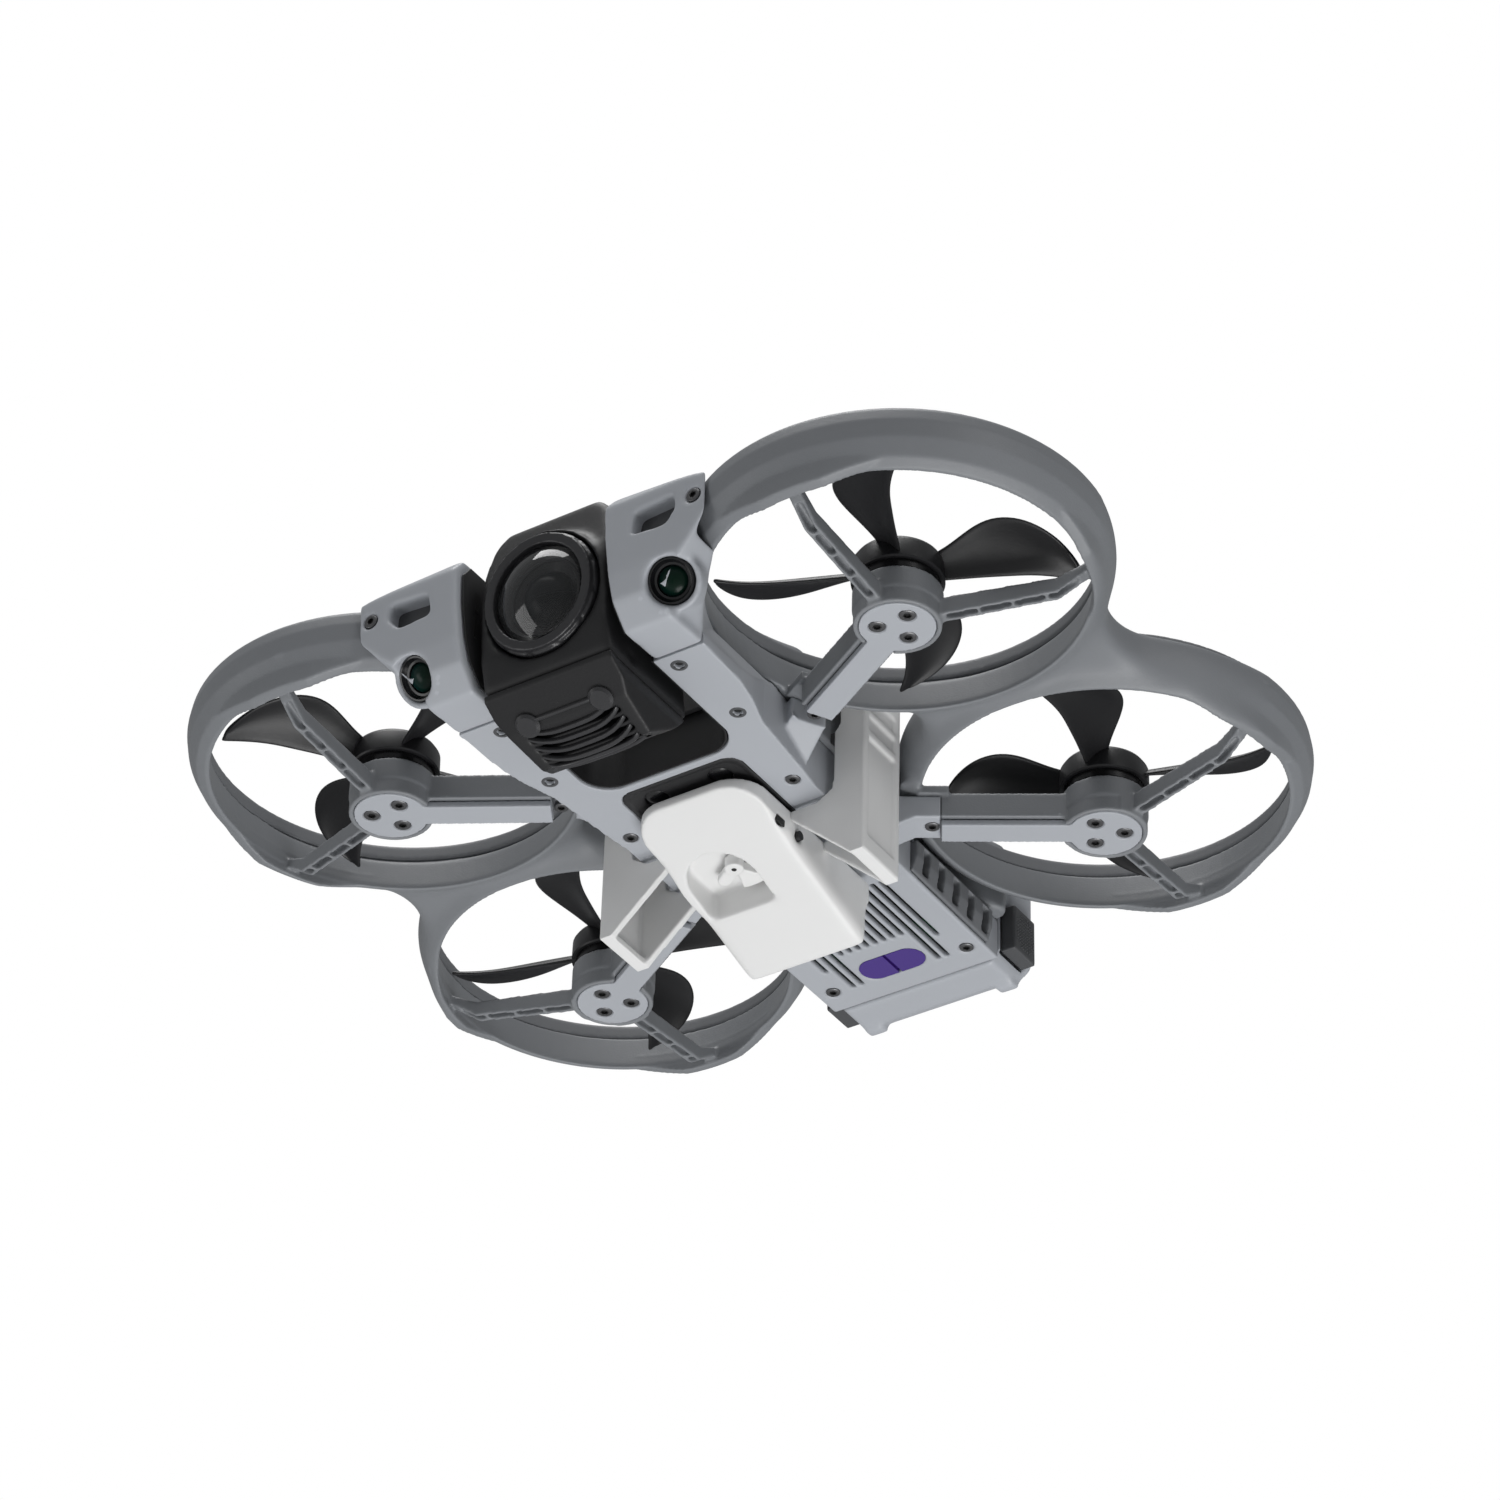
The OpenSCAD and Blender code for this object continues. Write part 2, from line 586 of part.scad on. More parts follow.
// Finned plate over the cooling slots
module heat_sink() airframe() color(steel) {
    slab(-rear_depth + wall_t + 0.8, -rear_depth + wall_t + 2) translate([-17, slot_y0]) square([34, 21.5]);
    for (i = [-6:6]) slab(-rear_depth + wall_t, -rear_depth + wall_t + 0.8)
        translate([i * slot_pitch - 0.35, slot_y0]) square([0.7, 21.5]);
}

// Dark side grilles with slanted slots
module vent_grilles() airframe() color(guard_grey) for (s = [-1, 1]) side(s) difference() {
    translate([rear_half - 1.6, vent_y0, -0.7]) along_y(0, vent_l)
        polygon([[0, 0], [2.4, 0], [3.8, 4], [3.8, part_z - 0.6], [0, part_z - 0.6]]);
    for (i = [0:vent_n - 1]) translate([rear_half - 4, vent_y0 + 3.4 + i * vent_pitch, 0]) along_x(0, 12)
        polygon([[0.6, 0.6], [3.6, 0.6], [3, 3.6], [3, 7.4], [0, 7.4], [0, 3.4]]);
}

// Main circuit board with its chips
module main_board() airframe() color(board_green) {
    slab(4.6, 5.8) round_rect(-18.5, bay_back_y + 7, 37, deck_end_y - bay_back_y - 14, 2);
    for (y = [-12, 14, 42]) slab(5.7, 7) translate([-8, y]) square([16, 14]);
    for (x = [-15, 10], y = [-4, 30]) slab(5.7, 7.6) translate([x, y]) square([5, 8]);
}

// Plan of the top shell: a rectangle bitten by the four guard rings
module top_plan(gap) difference() {
    round_rect(-body_w / 2 + gap, bay_back_y + gap, body_w - 2 * gap, deck_end_y - bay_back_y - 2 * gap, 4);
    for (s = [-1, 1], row = [-1, 1]) translate([s * motor_x, row * motor_y])
        circle(ring_r + guard_gap + gap, $fn = 180);
}

// Upper casing with the battery bay open at the rear
module top_shell() airframe() color(guard_grey) difference() {
    union() {
        slab(part_z, body_top - 2.4) top_plan(0);
        slab(body_top - 2.5, body_top - 1) top_plan(1);
        slab(body_top - 1.1, body_top) top_plan(2.4);
    }
    slab(part_z + wall_t, body_top - wall_t) intersection() {
        top_plan(wall_t);
        translate([-body_w, bay_back_y]) square([2 * body_w, battery_front_y - wall_t - bay_back_y]);
    }
    slab(bay_z, bay_z + battery_h + 2 * battery_gap) translate([-battery_half - battery_gap, battery_front_y])
        square([battery_w + 2 * battery_gap, deck_end_y]);
    // Air inlets on the flanks of the front half
    for (s = [-1, 1]) side(s) slab(15, 20) translate([cavity_half - 4, -motor_y + 28])
        for (i = [0:1]) translate([0, i * 6]) square([20, 4]);
    // Cable passage down to the boards
    slab(part_z - cut, part_z + wall_t + cut) translate([-6, bay_back_y + 8]) square([12, 6]);
    // Keyhole louvres on the roof above the fan
    for (i = [-3:3]) slab(body_top - wall_t - cut, body_top + cut)
        translate([-9, fan_y + i * 3]) square([18, 1.3]);
}

// Dark liner behind the camera
module bay_liner() airframe() color(black) difference() {
    along_y(bay_back_y - 1.8, 1.8) polygon([[-cavity_half, part_z], [cavity_half, part_z],
        [cavity_half, body_top - 3], [-cavity_half, body_top - 3]]);
    translate([0, 0, 16]) rotate([90, 0, 0]) cylinder(r = 3, h = 200, center = true);
    for (s = [-1, 1]) translate([s * motor_x, -motor_y, ring_z - 2])
        cylinder(r = ring_r + guard_gap, h = 30, $fn = 180);
}

// Housing of the cooling fan, above the boards
module fan_housing() airframe() color(black) translate([0, fan_y, part_z + wall_t]) difference() {
    translate([-14.5, -14.5, 0]) cube([29, 29, 7]);
    translate([0, 0, 1]) cylinder(r = 12.6, h = 7);
    translate([0, 0, -cut]) difference() {
        cylinder(r = 11, h = 4);
        translate([0, 0, -cut]) cylinder(r = 4, h = 8);
        for (a = [0:60:359]) rotate(a) translate([0, -0.8, -cut]) cube([12, 1.6, 8]);
    }
    translate([0, 0, -cut]) cylinder(r = fan_pin_r + running_gap, h = 8, $fn = 24);
}

// Fan wheel on its pin
module fan_rotor() airframe() color(dark_grey) translate([0, fan_y, part_z + wall_t]) {
    cylinder(r = fan_pin_r, h = 5, $fn = 24);
    translate([0, 0, 1.5]) cylinder(r = 5, h = 4.5);
    for (a = [0:45:359]) rotate(a) translate([4, -0.4, 1.9]) cube([7.5, 0.8, 3.7]);
}

// ---- Front pods ----

// Side outline of a pod
module pod_side() polygon([[fork_y, -belly_depth], [nose_y + 10.5, -belly_depth - 0.8], [nose_y + 4.8, -0.4],
    [nose_y + 2.6, 5.9], [nose_y + 0.8, 14.8], [nose_y, 24], [nose_y + 3.6, 28.5], [fork_y - 9, 28.5],
    [fork_y + 9.4, ring_top], [fork_y + 9.4, part_z], [fork_y, part_z]]);

// Front outline of a pod, rising from the fork to the ring
module pod_front() polygon([[cavity_half + 0.5, -12], [fork_half, -12], [fork_half, -3], [fork_half + 5.5, 4],
    [motor_x - 23, 12.5], [motor_x - 23, ring_top - 0.4], [cavity_half + 4, 28.6],
        [cavity_half + 0.5, 28.6]]);

// Direction and place of the fisheye sensor
module at_fisheye() translate([fork_half + 0.8, nose_y + 9.2, 3.1]) rotate([127, 0, 0])
    rotate([0, 12, 0]) children();

module front_pod(s) airframe() side(s) color(light_grey) difference() {
    union() {
        intersection() {
            along_x(cavity_half, 40) pod_side();
            along_y(nose_y - cut, 40) pod_front();
        }
        intersection() {
            at_fisheye() translate([0, 0, -9]) cylinder(r = 7.4, h = 11.2);
            along_y(nose_y - cut, 30)
                polygon([[cavity_half + 0.5, -8], [60, -8], [60, 24], [cavity_half + 0.5, 24]]);
        }
    }
    translate([motor_x, -motor_y, part_z]) cylinder(r = ring_r + guard_gap, h = 30, $fn = 180);
    duct_clearance();
    at_fisheye() translate([0, 0, -7]) cylinder(r = fisheye_r + 0.1, h = 12);
    // Air intake
    along_y(nose_y - cut, 7) polygon([[28.4, 14.3], [29.2, 19.8], [40.2, 20.6], [40.4, 16.6], [37.4, 13.6]]);
    along_y(nose_y + 4, 12) polygon([[29.6, 14.8], [30, 19.2], [38.8, 19.8], [38.8, 16.8], [37, 14.6]]);
    along_x(cavity_half - cut, wall_t + cut) translate([nose_y + 13, 0])
        for (z = [16, 19.5]) translate([0, z]) square([7, 1.4]);
    // Seat of the camera's pivot, and the guard screw
    along_pivot(cavity_half - cut, 6.5 + cut) circle(pivot_r);
    translate([guard_screw_x, nose_y - cut, guard_screw_z]) rotate([-90, 0, 0]) {
        cylinder(r = 1.9, h = cut + 2.8, $fn = 32);
        cylinder(r = 0.85, h = 12, $fn = 24);
    }
}

module front_pod_left() front_pod(-1);
module front_pod_right() front_pod(1);

module fisheye_barrels() airframe() color(black) for (s = [-1, 1]) side(s) at_fisheye() difference() {
    translate([0, 0, -7]) cylinder(r = fisheye_r, h = 9);
    translate([0, 0, -2]) cylinder(r = 3.6, h = 9);
    translate([0, 0, 1]) cylinder(r = 4.8, h = 9);
}

module fisheye_lenses() airframe() color(black) for (s = [-1, 1]) side(s) at_fisheye() {
    translate([0, 0, -2]) cylinder(r = 3.6, h = 1.6);
    intersection() {
        translate([0, 0, -0.5]) cylinder(r = 3.6, h = 6);
        translate([0, 0, -3.8]) sphere(r = 5);
    }
}

// ---- Camera ----

// A round piece along the pivot axis, from x0 over a length l
module along_pivot(x0, l) translate([x0, pivot_y, pivot_z]) rotate([0, 90, 0]) linear_extrude(l) children();

// Side outline of the whole camera
module camera_side() polygon([[pivot_y - 12, 36.8], [pivot_y - 14.6, lens_z + 8], [pivot_y - 13.6, 0],
    [pivot_y - 10.5, -10.4], [pivot_y - 2, -15.6], [pivot_y + 10, -18.2], [pivot_y + 16.6, -14],
    [pivot_y + 21, -8.6], [pivot_y + 17.5, 8], [pivot_y + 14, 30], [pivot_y + 8, 36.8]]);

module camera_front() {
    h = camera_w / 2;
    polygon([[-h, -19], [h, -19], [h, 26], [h - 1.6, 33], [h - 5, 36.9], [5 - h, 36.9], [1.6 - h, 33],
        [-h, 26]]);
}

// Places children on a lens plane, +Z outwards; dir is -1 for the front lens
module at_lens(dir) translate([0, pivot_y, 0]) mirror([0, dir > 0 ? 1 : 0, 0])
    translate([0, -lens_dy, lens_z]) rotate([90 + lens_tilt, 0, 0]) children();

module camera_block() intersection() {
    along_x(-camera_w / 2, camera_w) camera_side();
    along_y(pivot_y - 30, 60) camera_front();
}

// Volume below the chin's seam
module chin_zone() along_x(-camera_w, 2 * camera_w)
    polygon([[pivot_y - 20, -6.6], [pivot_y - 6, -9.4], [pivot_y + 30, -9.4], [pivot_y + 30, -30],
        [pivot_y - 20, -30]]);

module camera_housing() airframe() color(dark_grey) difference() {
    union() {
        difference() {
            camera_block();
            chin_zone();
        }
        for (dir = [-1, 1]) at_lens(dir) translate([0, 0, -6]) cylinder(r = lens_ring_r + 1.4, h = 6.6);
    }
    for (dir = [-1, 1]) at_lens(dir) translate([0, 0, -5]) cylinder(r = lens_ring_r + 0.3, h = 12);
    for (x = [-camera_w / 2 - cut, camera_w / 2 - 4]) along_pivot(x, 4 + cut) circle(pivot_r + running_gap);
    // Hollow core for the sensors
    intersection() {
        translate([-camera_w / 2 + 5, pivot_y - 9, -4]) cube([camera_w - 10, 18, 34]);
        translate([0, pivot_y, -8]) cylinder(r = 12, h = 50);
    }
    for (s = [-1, 1]) side(s) translate([camera_w / 2 - 1, pivot_y - 2.5, -5.5]) rotate([0, 90, 0])
        cylinder(r = 1.5, h = 3, $fn = 32);
}

// Chin with the louvred vent
module camera_chin() airframe() color(dark_grey) difference() {
    intersection() {
        camera_block();
        translate([0, 0, -0.25]) chin_zone();
        along_y(pivot_y - 30, 60) polygon([[-camera_w / 2, 0], [camera_w / 2, 0], [camera_w / 2, -13],
            [camera_w / 2 - 3.4, -19], [3.4 - camera_w / 2, -19], [-camera_w / 2, -13]]);
    }
    for (i = [0:5]) translate([0, pivot_y - 0.5 + i * 3.1, 0]) along_x(-12.5, 25)
        polygon([[0, -20], [1.7, -20], [3.4, -13], [1.7, -13]]);
    translate([-camera_w / 2 + 4, pivot_y + 1, -13]) cube([camera_w - 8, 14, 4]);
}

// Scalloped ring around a lens
module lens_ring(dir) airframe() color(dark_grey) at_lens(dir) difference() {
    union() {
        translate([0, 0, -3]) cylinder(r = lens_ring_r - 0.6, h = 5.2);
        translate([0, 0, -3]) cylinder(r = lens_ring_r, h = 3.6);
    }
    for (i = [0:11]) rotate(15 + i * 30) translate([lens_ring_r + 1.2, 0, 0])
        cylinder(r = 1.7, h = 8, $fn = 32);
    translate([0, 0, -4]) cylinder(r = lens_ring_r - 3.1, h = 10);
}

// Bulging front glass, thin-walled
module lens_dome(dir) airframe() color([0.08, 0.08, 0.1, 0.5]) at_lens(dir) difference() {
    intersection() {
        translate([0, 0, -1.5]) cylinder(r = lens_ring_r - 3.1, h = 12);
        translate([0, 0, 2.7 - 15.4]) sphere(r = 19);
    }
    intersection() {
        translate([0, 0, -2.5]) cylinder(r = lens_ring_r - 4.3, h = 12);
        translate([0, 0, 2.7 - 15.4]) sphere(r = 18);
    }
}

module lens_dome_front() lens_dome(-1);
module lens_dome_rear() lens_dome(1);
module lens_ring_front() lens_ring(-1);
module lens_ring_rear() lens_ring(1);

// Lens barrels behind the glass
module lens_cores() airframe() color(black) for (dir = [-1, 1]) at_lens(dir) {
    translate([0, 0, -5]) cylinder(r = lens_ring_r - 3.4, h = 2);
    translate([0, 0, -3]) cylinder(r = 9.2, h = 2.2);
    intersection() {
        translate([0, 0, -0.8]) cylinder(r = 6.6, h = 5);
        translate([0, 0, -6.6]) sphere(r = 8.6);
    }
}

// Pins that carry the camera between the pods
module camera_pivots() airframe() color(steel) for (x = [-cavity_half - 5, camera_w / 2 - 3.6])
    along_pivot(x, cavity_half + 8.6 - camera_w / 2) circle(pivot_r);

// Drum motor that tilts the camera, on the right-hand pin
module tilt_motor() airframe() color(black) along_pivot(camera_w / 2 + 0.5, camera_gap) difference() {
    circle(tilt_motor_r);
    circle(pivot_r);
}

// ---- Battery ----

// Front outline of the tail, with its lower corners cut back
module tail_front() polygon([[-tail_foot_half, tail_bottom], [tail_foot_half, tail_bottom], [tail_half, 3.4],
    [tail_half, body_top - 4], [tail_half - 3, body_top - 1.2], [3 - tail_half, body_top - 1.2],
    [-tail_half, body_top - 4], [-tail_half, 3.4]]);

// Side outline of the tail, which rises a little towards its rear edge
module tail_side() polygon([[deck_end_y + tail_gap, tail_bottom], [tail_y - 5, tail_bottom + 0.3],
    [tail_y - 1.5, tail_bottom + 2], [tail_y, 5], [tail_y, body_top - 5], [tail_y - 3, body_top],
    [deck_end_y + tail_gap, body_top]]);

module battery_case() airframe() color(guard_grey) difference() {
    union() {
        slab(bay_z + battery_gap, bay_z + battery_gap + battery_h)
            translate([-battery_half, battery_front_y + 0.5])
            square([battery_w, deck_end_y]);
        intersection() {
            along_y(deck_end_y + tail_gap, tail_y - deck_end_y) tail_front();
            along_x(-tail_half, 2 * tail_half) tail_side();
            slab(tail_bottom - cut, body_top) round_rect(-tail_half, deck_end_y + tail_gap, 2 * tail_half,
                tail_y - deck_end_y - tail_gap, 3.5);
        }
        for (s = [-1, 1]) side(s) along_x(tail_foot_half - 4.6, 5.2) polygon([[tail_y - 8, tail_bottom + 1.5],
            [tail_y - 4.4, tail_bottom - 0.7], [tail_y - 1.6, tail_bottom - 0.3], [tail_y - 0.6, 4]]);
    }
    slab(bay_z + battery_gap + 1.2, bay_z + battery_gap + battery_h - 1.2)
        translate([1.2 - battery_half, battery_front_y + 1.7])
            square([battery_w - 2.4, deck_end_y - battery_front_y - 6]);
    for (s = [-1, 1]) side(s)
        translate([tail_half - 4, latch_y - latch_w / 2 - 0.3, latch_z - latch_h / 2 - 0.3])
        cube([8, latch_w + 0.6, latch_h + 0.6]);
    translate([0, tail_y - 3, 22]) rotate([-90, 0, 0]) cylinder(r = 3.3, h = 8);
    for (x = [-8, -4, 4, 8]) translate([x, tail_y - 1, 27]) rotate([-90, 0, 0])
        cylinder(r = 0.5, h = 8, $fn = 24);
}

// Four flat cells
module battery_cells() airframe() color([0.2, 0.35, 0.5]) for (i = [0:3])
    translate([1.6 - battery_half, battery_front_y + 2, bay_z + battery_gap + 1.6 + i * cell_pitch])
        cube([battery_w - 3.2, deck_end_y - battery_front_y - 8, cell_pitch - 0.15]);

// Latch button, standing proud of the tail's side
module latch(s) airframe() side(s) color(dark_grey)
    translate([tail_half - 4 + latch_travel + 0.2, latch_y - latch_w / 2, latch_z - latch_h / 2])
        cube([4.2, latch_w, latch_h]);

module latch_left() latch(-1);
module latch_right() latch(1);

module power_button() airframe() color(dark_grey) translate([0, tail_y - 2, 22]) rotate([-90, 0, 0])
    cylinder(r = 3.1, h = 2.4);

// ---- Launcher ----

// Side outline of the launcher with its top at a given height, inset by t
module launcher_side(t, top)
    polygon([[launcher_front_y + t, top], [launcher_front_y + t, launcher_nose_z + t],
    [launcher_rear_y - 1.4 - t, -stand_h + t], [launcher_rear_y - t, -stand_h + t],
    [launcher_rear_y - t, top]]);

// Plan outline of the launcher, with a rounded nose
module launcher_plan(t) {
    translate([t - launcher_half, launcher_front_y + nose_corner_r])
        square([launcher_w - 2 * t, launcher_l - nose_corner_r - t]);
    translate([nose_corner_r - launcher_half, launcher_front_y + t])
        square([launcher_w - 2 * nose_corner_r, launcher_l / 2]);
    for (s = [-1, 1]) translate([s * (launcher_half - nose_corner_r), launcher_front_y + nose_corner_r])
        circle(nose_corner_r - t);
}

module launcher_block(t, top) intersection() {
    along_x(-launcher_half - cut, launcher_w + 2 * cut) launcher_side(t, top);
    slab(-stand_h - cut, top + cut) launcher_plan(t);
}

// Plan of the pocket: round at the front, square at the rear
module pocket_plan(t) translate([pocket_x, pocket_y]) {
    circle(pocket_r + t);
    translate([-pocket_r - t, 0]) square([2 * (pocket_r + t), pocket_r + t]);
}

module launcher_shell() airframe() color(white) difference() {
    launcher_block(0, launcher_top);
    difference() {
        launcher_block(launcher_t, launcher_top + cut);
        slab(-stand_h - cut, pocket_roof + launcher_t) pocket_plan(launcher_t);
    }
    slab(-stand_h - 2 * cut, pocket_roof) pocket_plan(0);
    slab(launcher_top - launcher_t, launcher_top + 2 * cut) launcher_plan(launcher_t * 0.5);
    translate([lever_x, lever_y, lever_z]) cylinder(r = lever_pin_r + running_gap, h = 12, $fn = 32);
    // Charging port and switch hole in the right-hand wall
    translate([launcher_half - launcher_t - cut, port_y, port_z]) cube([6, 3.4, 1.7]);
    translate([launcher_half - launcher_t - cut, button_y, button_z]) rotate([0, 90, 0])
        cylinder(r = 1.3, h = 6, $fn = 32);
}

// Flat lid that closes the launcher's top
module launcher_lid() airframe() color(white) slab(launcher_top - launcher_t, launcher_top)
    launcher_plan(launcher_t * 0.5 + 0.1);

// Release lever: an arm and a drum sector on a pin through the pocket's roof
module release_lever() airframe() color(white) translate([lever_x, lever_y, 0]) {
    slab(lever_z - 0.6, pocket_roof - 0.3) circle(2.3, $fn = 48);
    slab(lever_z, servo_top) circle(lever_pin_r, $fn = 32);
    slab(lever_z - 0.4, lever_z + 1.6) rotate(145) {
        translate([0, -1.6]) square([6.4, 3.2]);
        translate([6.4, 0]) circle(1.6, $fn = 32);
    }
    slab(lever_z + 0.2, pocket_roof - 0.3) intersection() {
        circle(9);
        polygon([[0, 0], [9, 14], [-4.5, 14]]);
    }
}

// Servo behind the pocket, with a bracket that holds the lever's pin
module launcher_servo() airframe() color(black) difference() {
    union() {
        slab(-17, servo_top) translate([pocket_x - 7, pocket_y + pocket_r + launcher_t + servo_gap])
            square([14, 10]);
        slab(pocket_roof + launcher_t, servo_top)
            translate([lever_x - 3, lever_y - 3])
                square([6, pocket_y + pocket_r + launcher_t + 3.5 - lever_y]);
    }
    translate([lever_x, lever_y, lever_z]) cylinder(r = lever_pin_r + running_gap, h = 12, $fn = 32);
}

module launcher_button() airframe() color(black)
    translate([launcher_half - launcher_t - 0.4, button_y, button_z])
    rotate([0, 90, 0]) cylinder(r = 1.2, h = launcher_t + 1, $fn = 32);

// ---- Clamps ----

// Front outline of a clamp's web, from the launcher's edge round the body to the roof hook
module clamp_web_outline() polygon([[launcher_half, launcher_top - 2.6], [launcher_half, launcher_top - 0.2],
    [belly_half - 2, launcher_top - 0.2], [belly_half + pad_t + 0.8, -belly_depth + 1],
    [body_w / 2 + pad_t, -belly_depth + 5], [body_w / 2 + pad_t, part_z + 3],
    [body_w / 2 + 2.6, part_z + 5], [body_w / 2 + 2.6, body_top + 0.6],
    [clamp_out_x, body_top + 0.6], [clamp_out_x, -stand_h], [clamp_out_x - 3.6, -stand_h]]);

module clamp(s) airframe() side(s) color(white) {
    difference() {
        union() {
            for (y = [clamp_y, clamp_y + clamp_w - clamp_t]) along_y(y, clamp_t) clamp_web_outline();
            along_y(clamp_y, clamp_w)
                polygon([[clamp_out_x - clamp_t, body_top + 0.6], [clamp_out_x, body_top + 0.6],
                [clamp_out_x, -stand_h], [clamp_out_x - clamp_t, -stand_h]]);
            translate([body_w / 2 - 9, clamp_y, body_top + 0.6])
                cube([clamp_out_x - body_w / 2 + 9, clamp_w, 1.8]);
            translate([clamp_out_x - 3.6, clamp_y, -stand_h]) cube([3.6, clamp_w, 1.8]);
        }
        translate([clamp_out_x - 0.7, clamp_y + 2.2, -stand_h + 5])
            cube([2, clamp_w - 4.4, part_z + stand_h - 5]);
        for (z = [part_z + 2, part_z + 8]) translate([clamp_out_x - 0.7, clamp_y + 2.2, z])
            cube([2, clamp_w - 4.4, 4.4]);
    }
}

module clamp_left() clamp(-1);
module clamp_right() clamp(1);

// Rubber between the clamps and the body, and on top of the launcher
module grip_pads() airframe() color(black) {
    for (s = [-1, 1]) side(s) {
        translate([body_w / 2, clamp_y, part_z + 0.2]) cube([pad_t, clamp_w, 2.6]);
        translate([body_w / 2 - 8, clamp_y + 1, body_top]) cube([6, clamp_w - 2, 0.6]);
    }
    for (x = [-13, 8]) translate([x, 2, launcher_top]) cube([5, 16, pad_t]);
}

// ---- Drawing ----

belly_frame();
top_shell();
front_pod_left();
front_pod_right();
guard_left();
guard_right();
guard_rim_left();
guard_rim_right();
arm_cover_front_left();
arm_cover_front_right();
arm_cover_rear_left();
arm_cover_rear_right();
stator_front_left();
stator_front_right();
stator_rear_left();
stator_rear_right();
rotor_front_left();
rotor_front_right();
rotor_rear_left();
rotor_rear_right();
propeller_front_left();
propeller_front_right();
propeller_rear_left();
propeller_rear_right();
motor_bearings();
hub_screws();
body_screws();
camera_housing();
camera_chin();
lens_ring_front();
lens_ring_rear();
lens_dome_front();
lens_dome_rear();
lens_cores();
camera_pivots();
tilt_motor();
bay_liner();
fisheye_barrels();
fisheye_lenses();
sensor_panel();
sensor_lenses();
ranging_windows();
heat_sink();
vent_grilles();
main_board();
fan_housing();
fan_rotor();
battery_case();
battery_cells();
latch_left();
latch_right();
power_button();
launcher_shell();
launcher_lid();
release_lever();
launcher_servo();
clamp_left();
clamp_right();
grip_pads();
launcher_button();
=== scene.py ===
import math

import bmesh
import bpy
from mathutils import Matrix, Vector


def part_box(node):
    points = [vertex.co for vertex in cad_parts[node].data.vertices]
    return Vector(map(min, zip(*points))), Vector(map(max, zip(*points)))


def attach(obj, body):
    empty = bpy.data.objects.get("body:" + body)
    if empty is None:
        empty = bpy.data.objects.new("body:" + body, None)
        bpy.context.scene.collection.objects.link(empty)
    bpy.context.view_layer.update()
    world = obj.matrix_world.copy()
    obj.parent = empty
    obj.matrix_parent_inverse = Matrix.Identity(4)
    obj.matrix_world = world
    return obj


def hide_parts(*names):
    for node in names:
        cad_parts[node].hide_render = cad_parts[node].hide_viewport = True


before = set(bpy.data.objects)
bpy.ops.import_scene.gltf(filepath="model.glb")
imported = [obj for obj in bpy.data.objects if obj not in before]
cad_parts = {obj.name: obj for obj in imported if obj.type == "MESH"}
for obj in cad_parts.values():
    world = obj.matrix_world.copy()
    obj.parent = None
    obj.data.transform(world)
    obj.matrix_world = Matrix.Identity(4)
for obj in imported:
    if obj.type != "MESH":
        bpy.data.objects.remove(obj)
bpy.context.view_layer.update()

# Looks of a ducted camera quadcopter with a clip-on payload launcher.
# Front is -Y, +X is the right-hand side seen from behind, +Z is up, and all sizes are in metres.

MM = 0.001


# ---- Camera ----

def aim_camera():
    """The camera looks up at the drone from ahead and to its right."""
    data = bpy.data.cameras.new("camera")
    data.lens = 127.73
    data.sensor_width = 36
    data.clip_start = 0.05
    data.clip_end = 60
    camera = bpy.data.objects.new("camera", data)
    bpy.context.scene.collection.objects.link(camera)
    azimuth, elevation, roll = math.radians(34.067), math.radians(-36.356), math.radians(1.748)
    back = Vector((math.sin(azimuth) * math.cos(elevation), -math.cos(azimuth) * math.cos(elevation),
                   math.sin(elevation)))
    right = Vector((math.cos(azimuth), math.sin(azimuth), 0))
    up = back.cross(right)
    across = math.cos(roll) * right + math.sin(roll) * up
    upward = -math.sin(roll) * right + math.cos(roll) * up
    distance, shift_across, shift_up, hub_plane = 1286.5, -0.496, -18.172, 24.5
    place = (back * distance - across * shift_across - upward * shift_up + Vector((0, 0, hub_plane))) * MM
    turn = Matrix((across, upward, back)).transposed()
    camera.matrix_world = Matrix.Translation(place) @ turn.to_4x4()
    bpy.context.scene.camera = camera


aim_camera()


# ---- Shader groups ----

def new_group(name, inputs, outputs):
    group = bpy.data.node_groups.new(name, "ShaderNodeTree")
    for label, kind, value in inputs:
        socket = group.interface.new_socket(label, in_out="INPUT", socket_type=kind)
        socket.default_value = value
    for label, kind in outputs:
        group.interface.new_socket(label, in_out="OUTPUT", socket_type=kind)
    start = group.nodes.new("NodeGroupInput")
    end = group.nodes.new("NodeGroupOutput")
    return group, start.outputs, end.inputs


def math_node(tree, operation, first, second):
    node = tree.nodes.new("ShaderNodeMath")
    node.operation = operation
    for socket, value in zip(node.inputs, (first, second)):
        if isinstance(value, (int, float)):
            socket.default_value = value
        else:
            tree.links.new(value, socket)
    return node.outputs[0]


def noise_node(tree, place, scale, detail, roughness=0.5):
    node = tree.nodes.new("ShaderNodeTexNoise")
    tree.links.new(place, node.inputs["Vector"])
    if isinstance(scale, (int, float)):
        node.inputs["Scale"].default_value = scale
    else:
        tree.links.new(scale, node.inputs["Scale"])
    node.inputs["Detail"].default_value = detail
    node.inputs["Roughness"].default_value = roughness
    return node.outputs["Fac"]


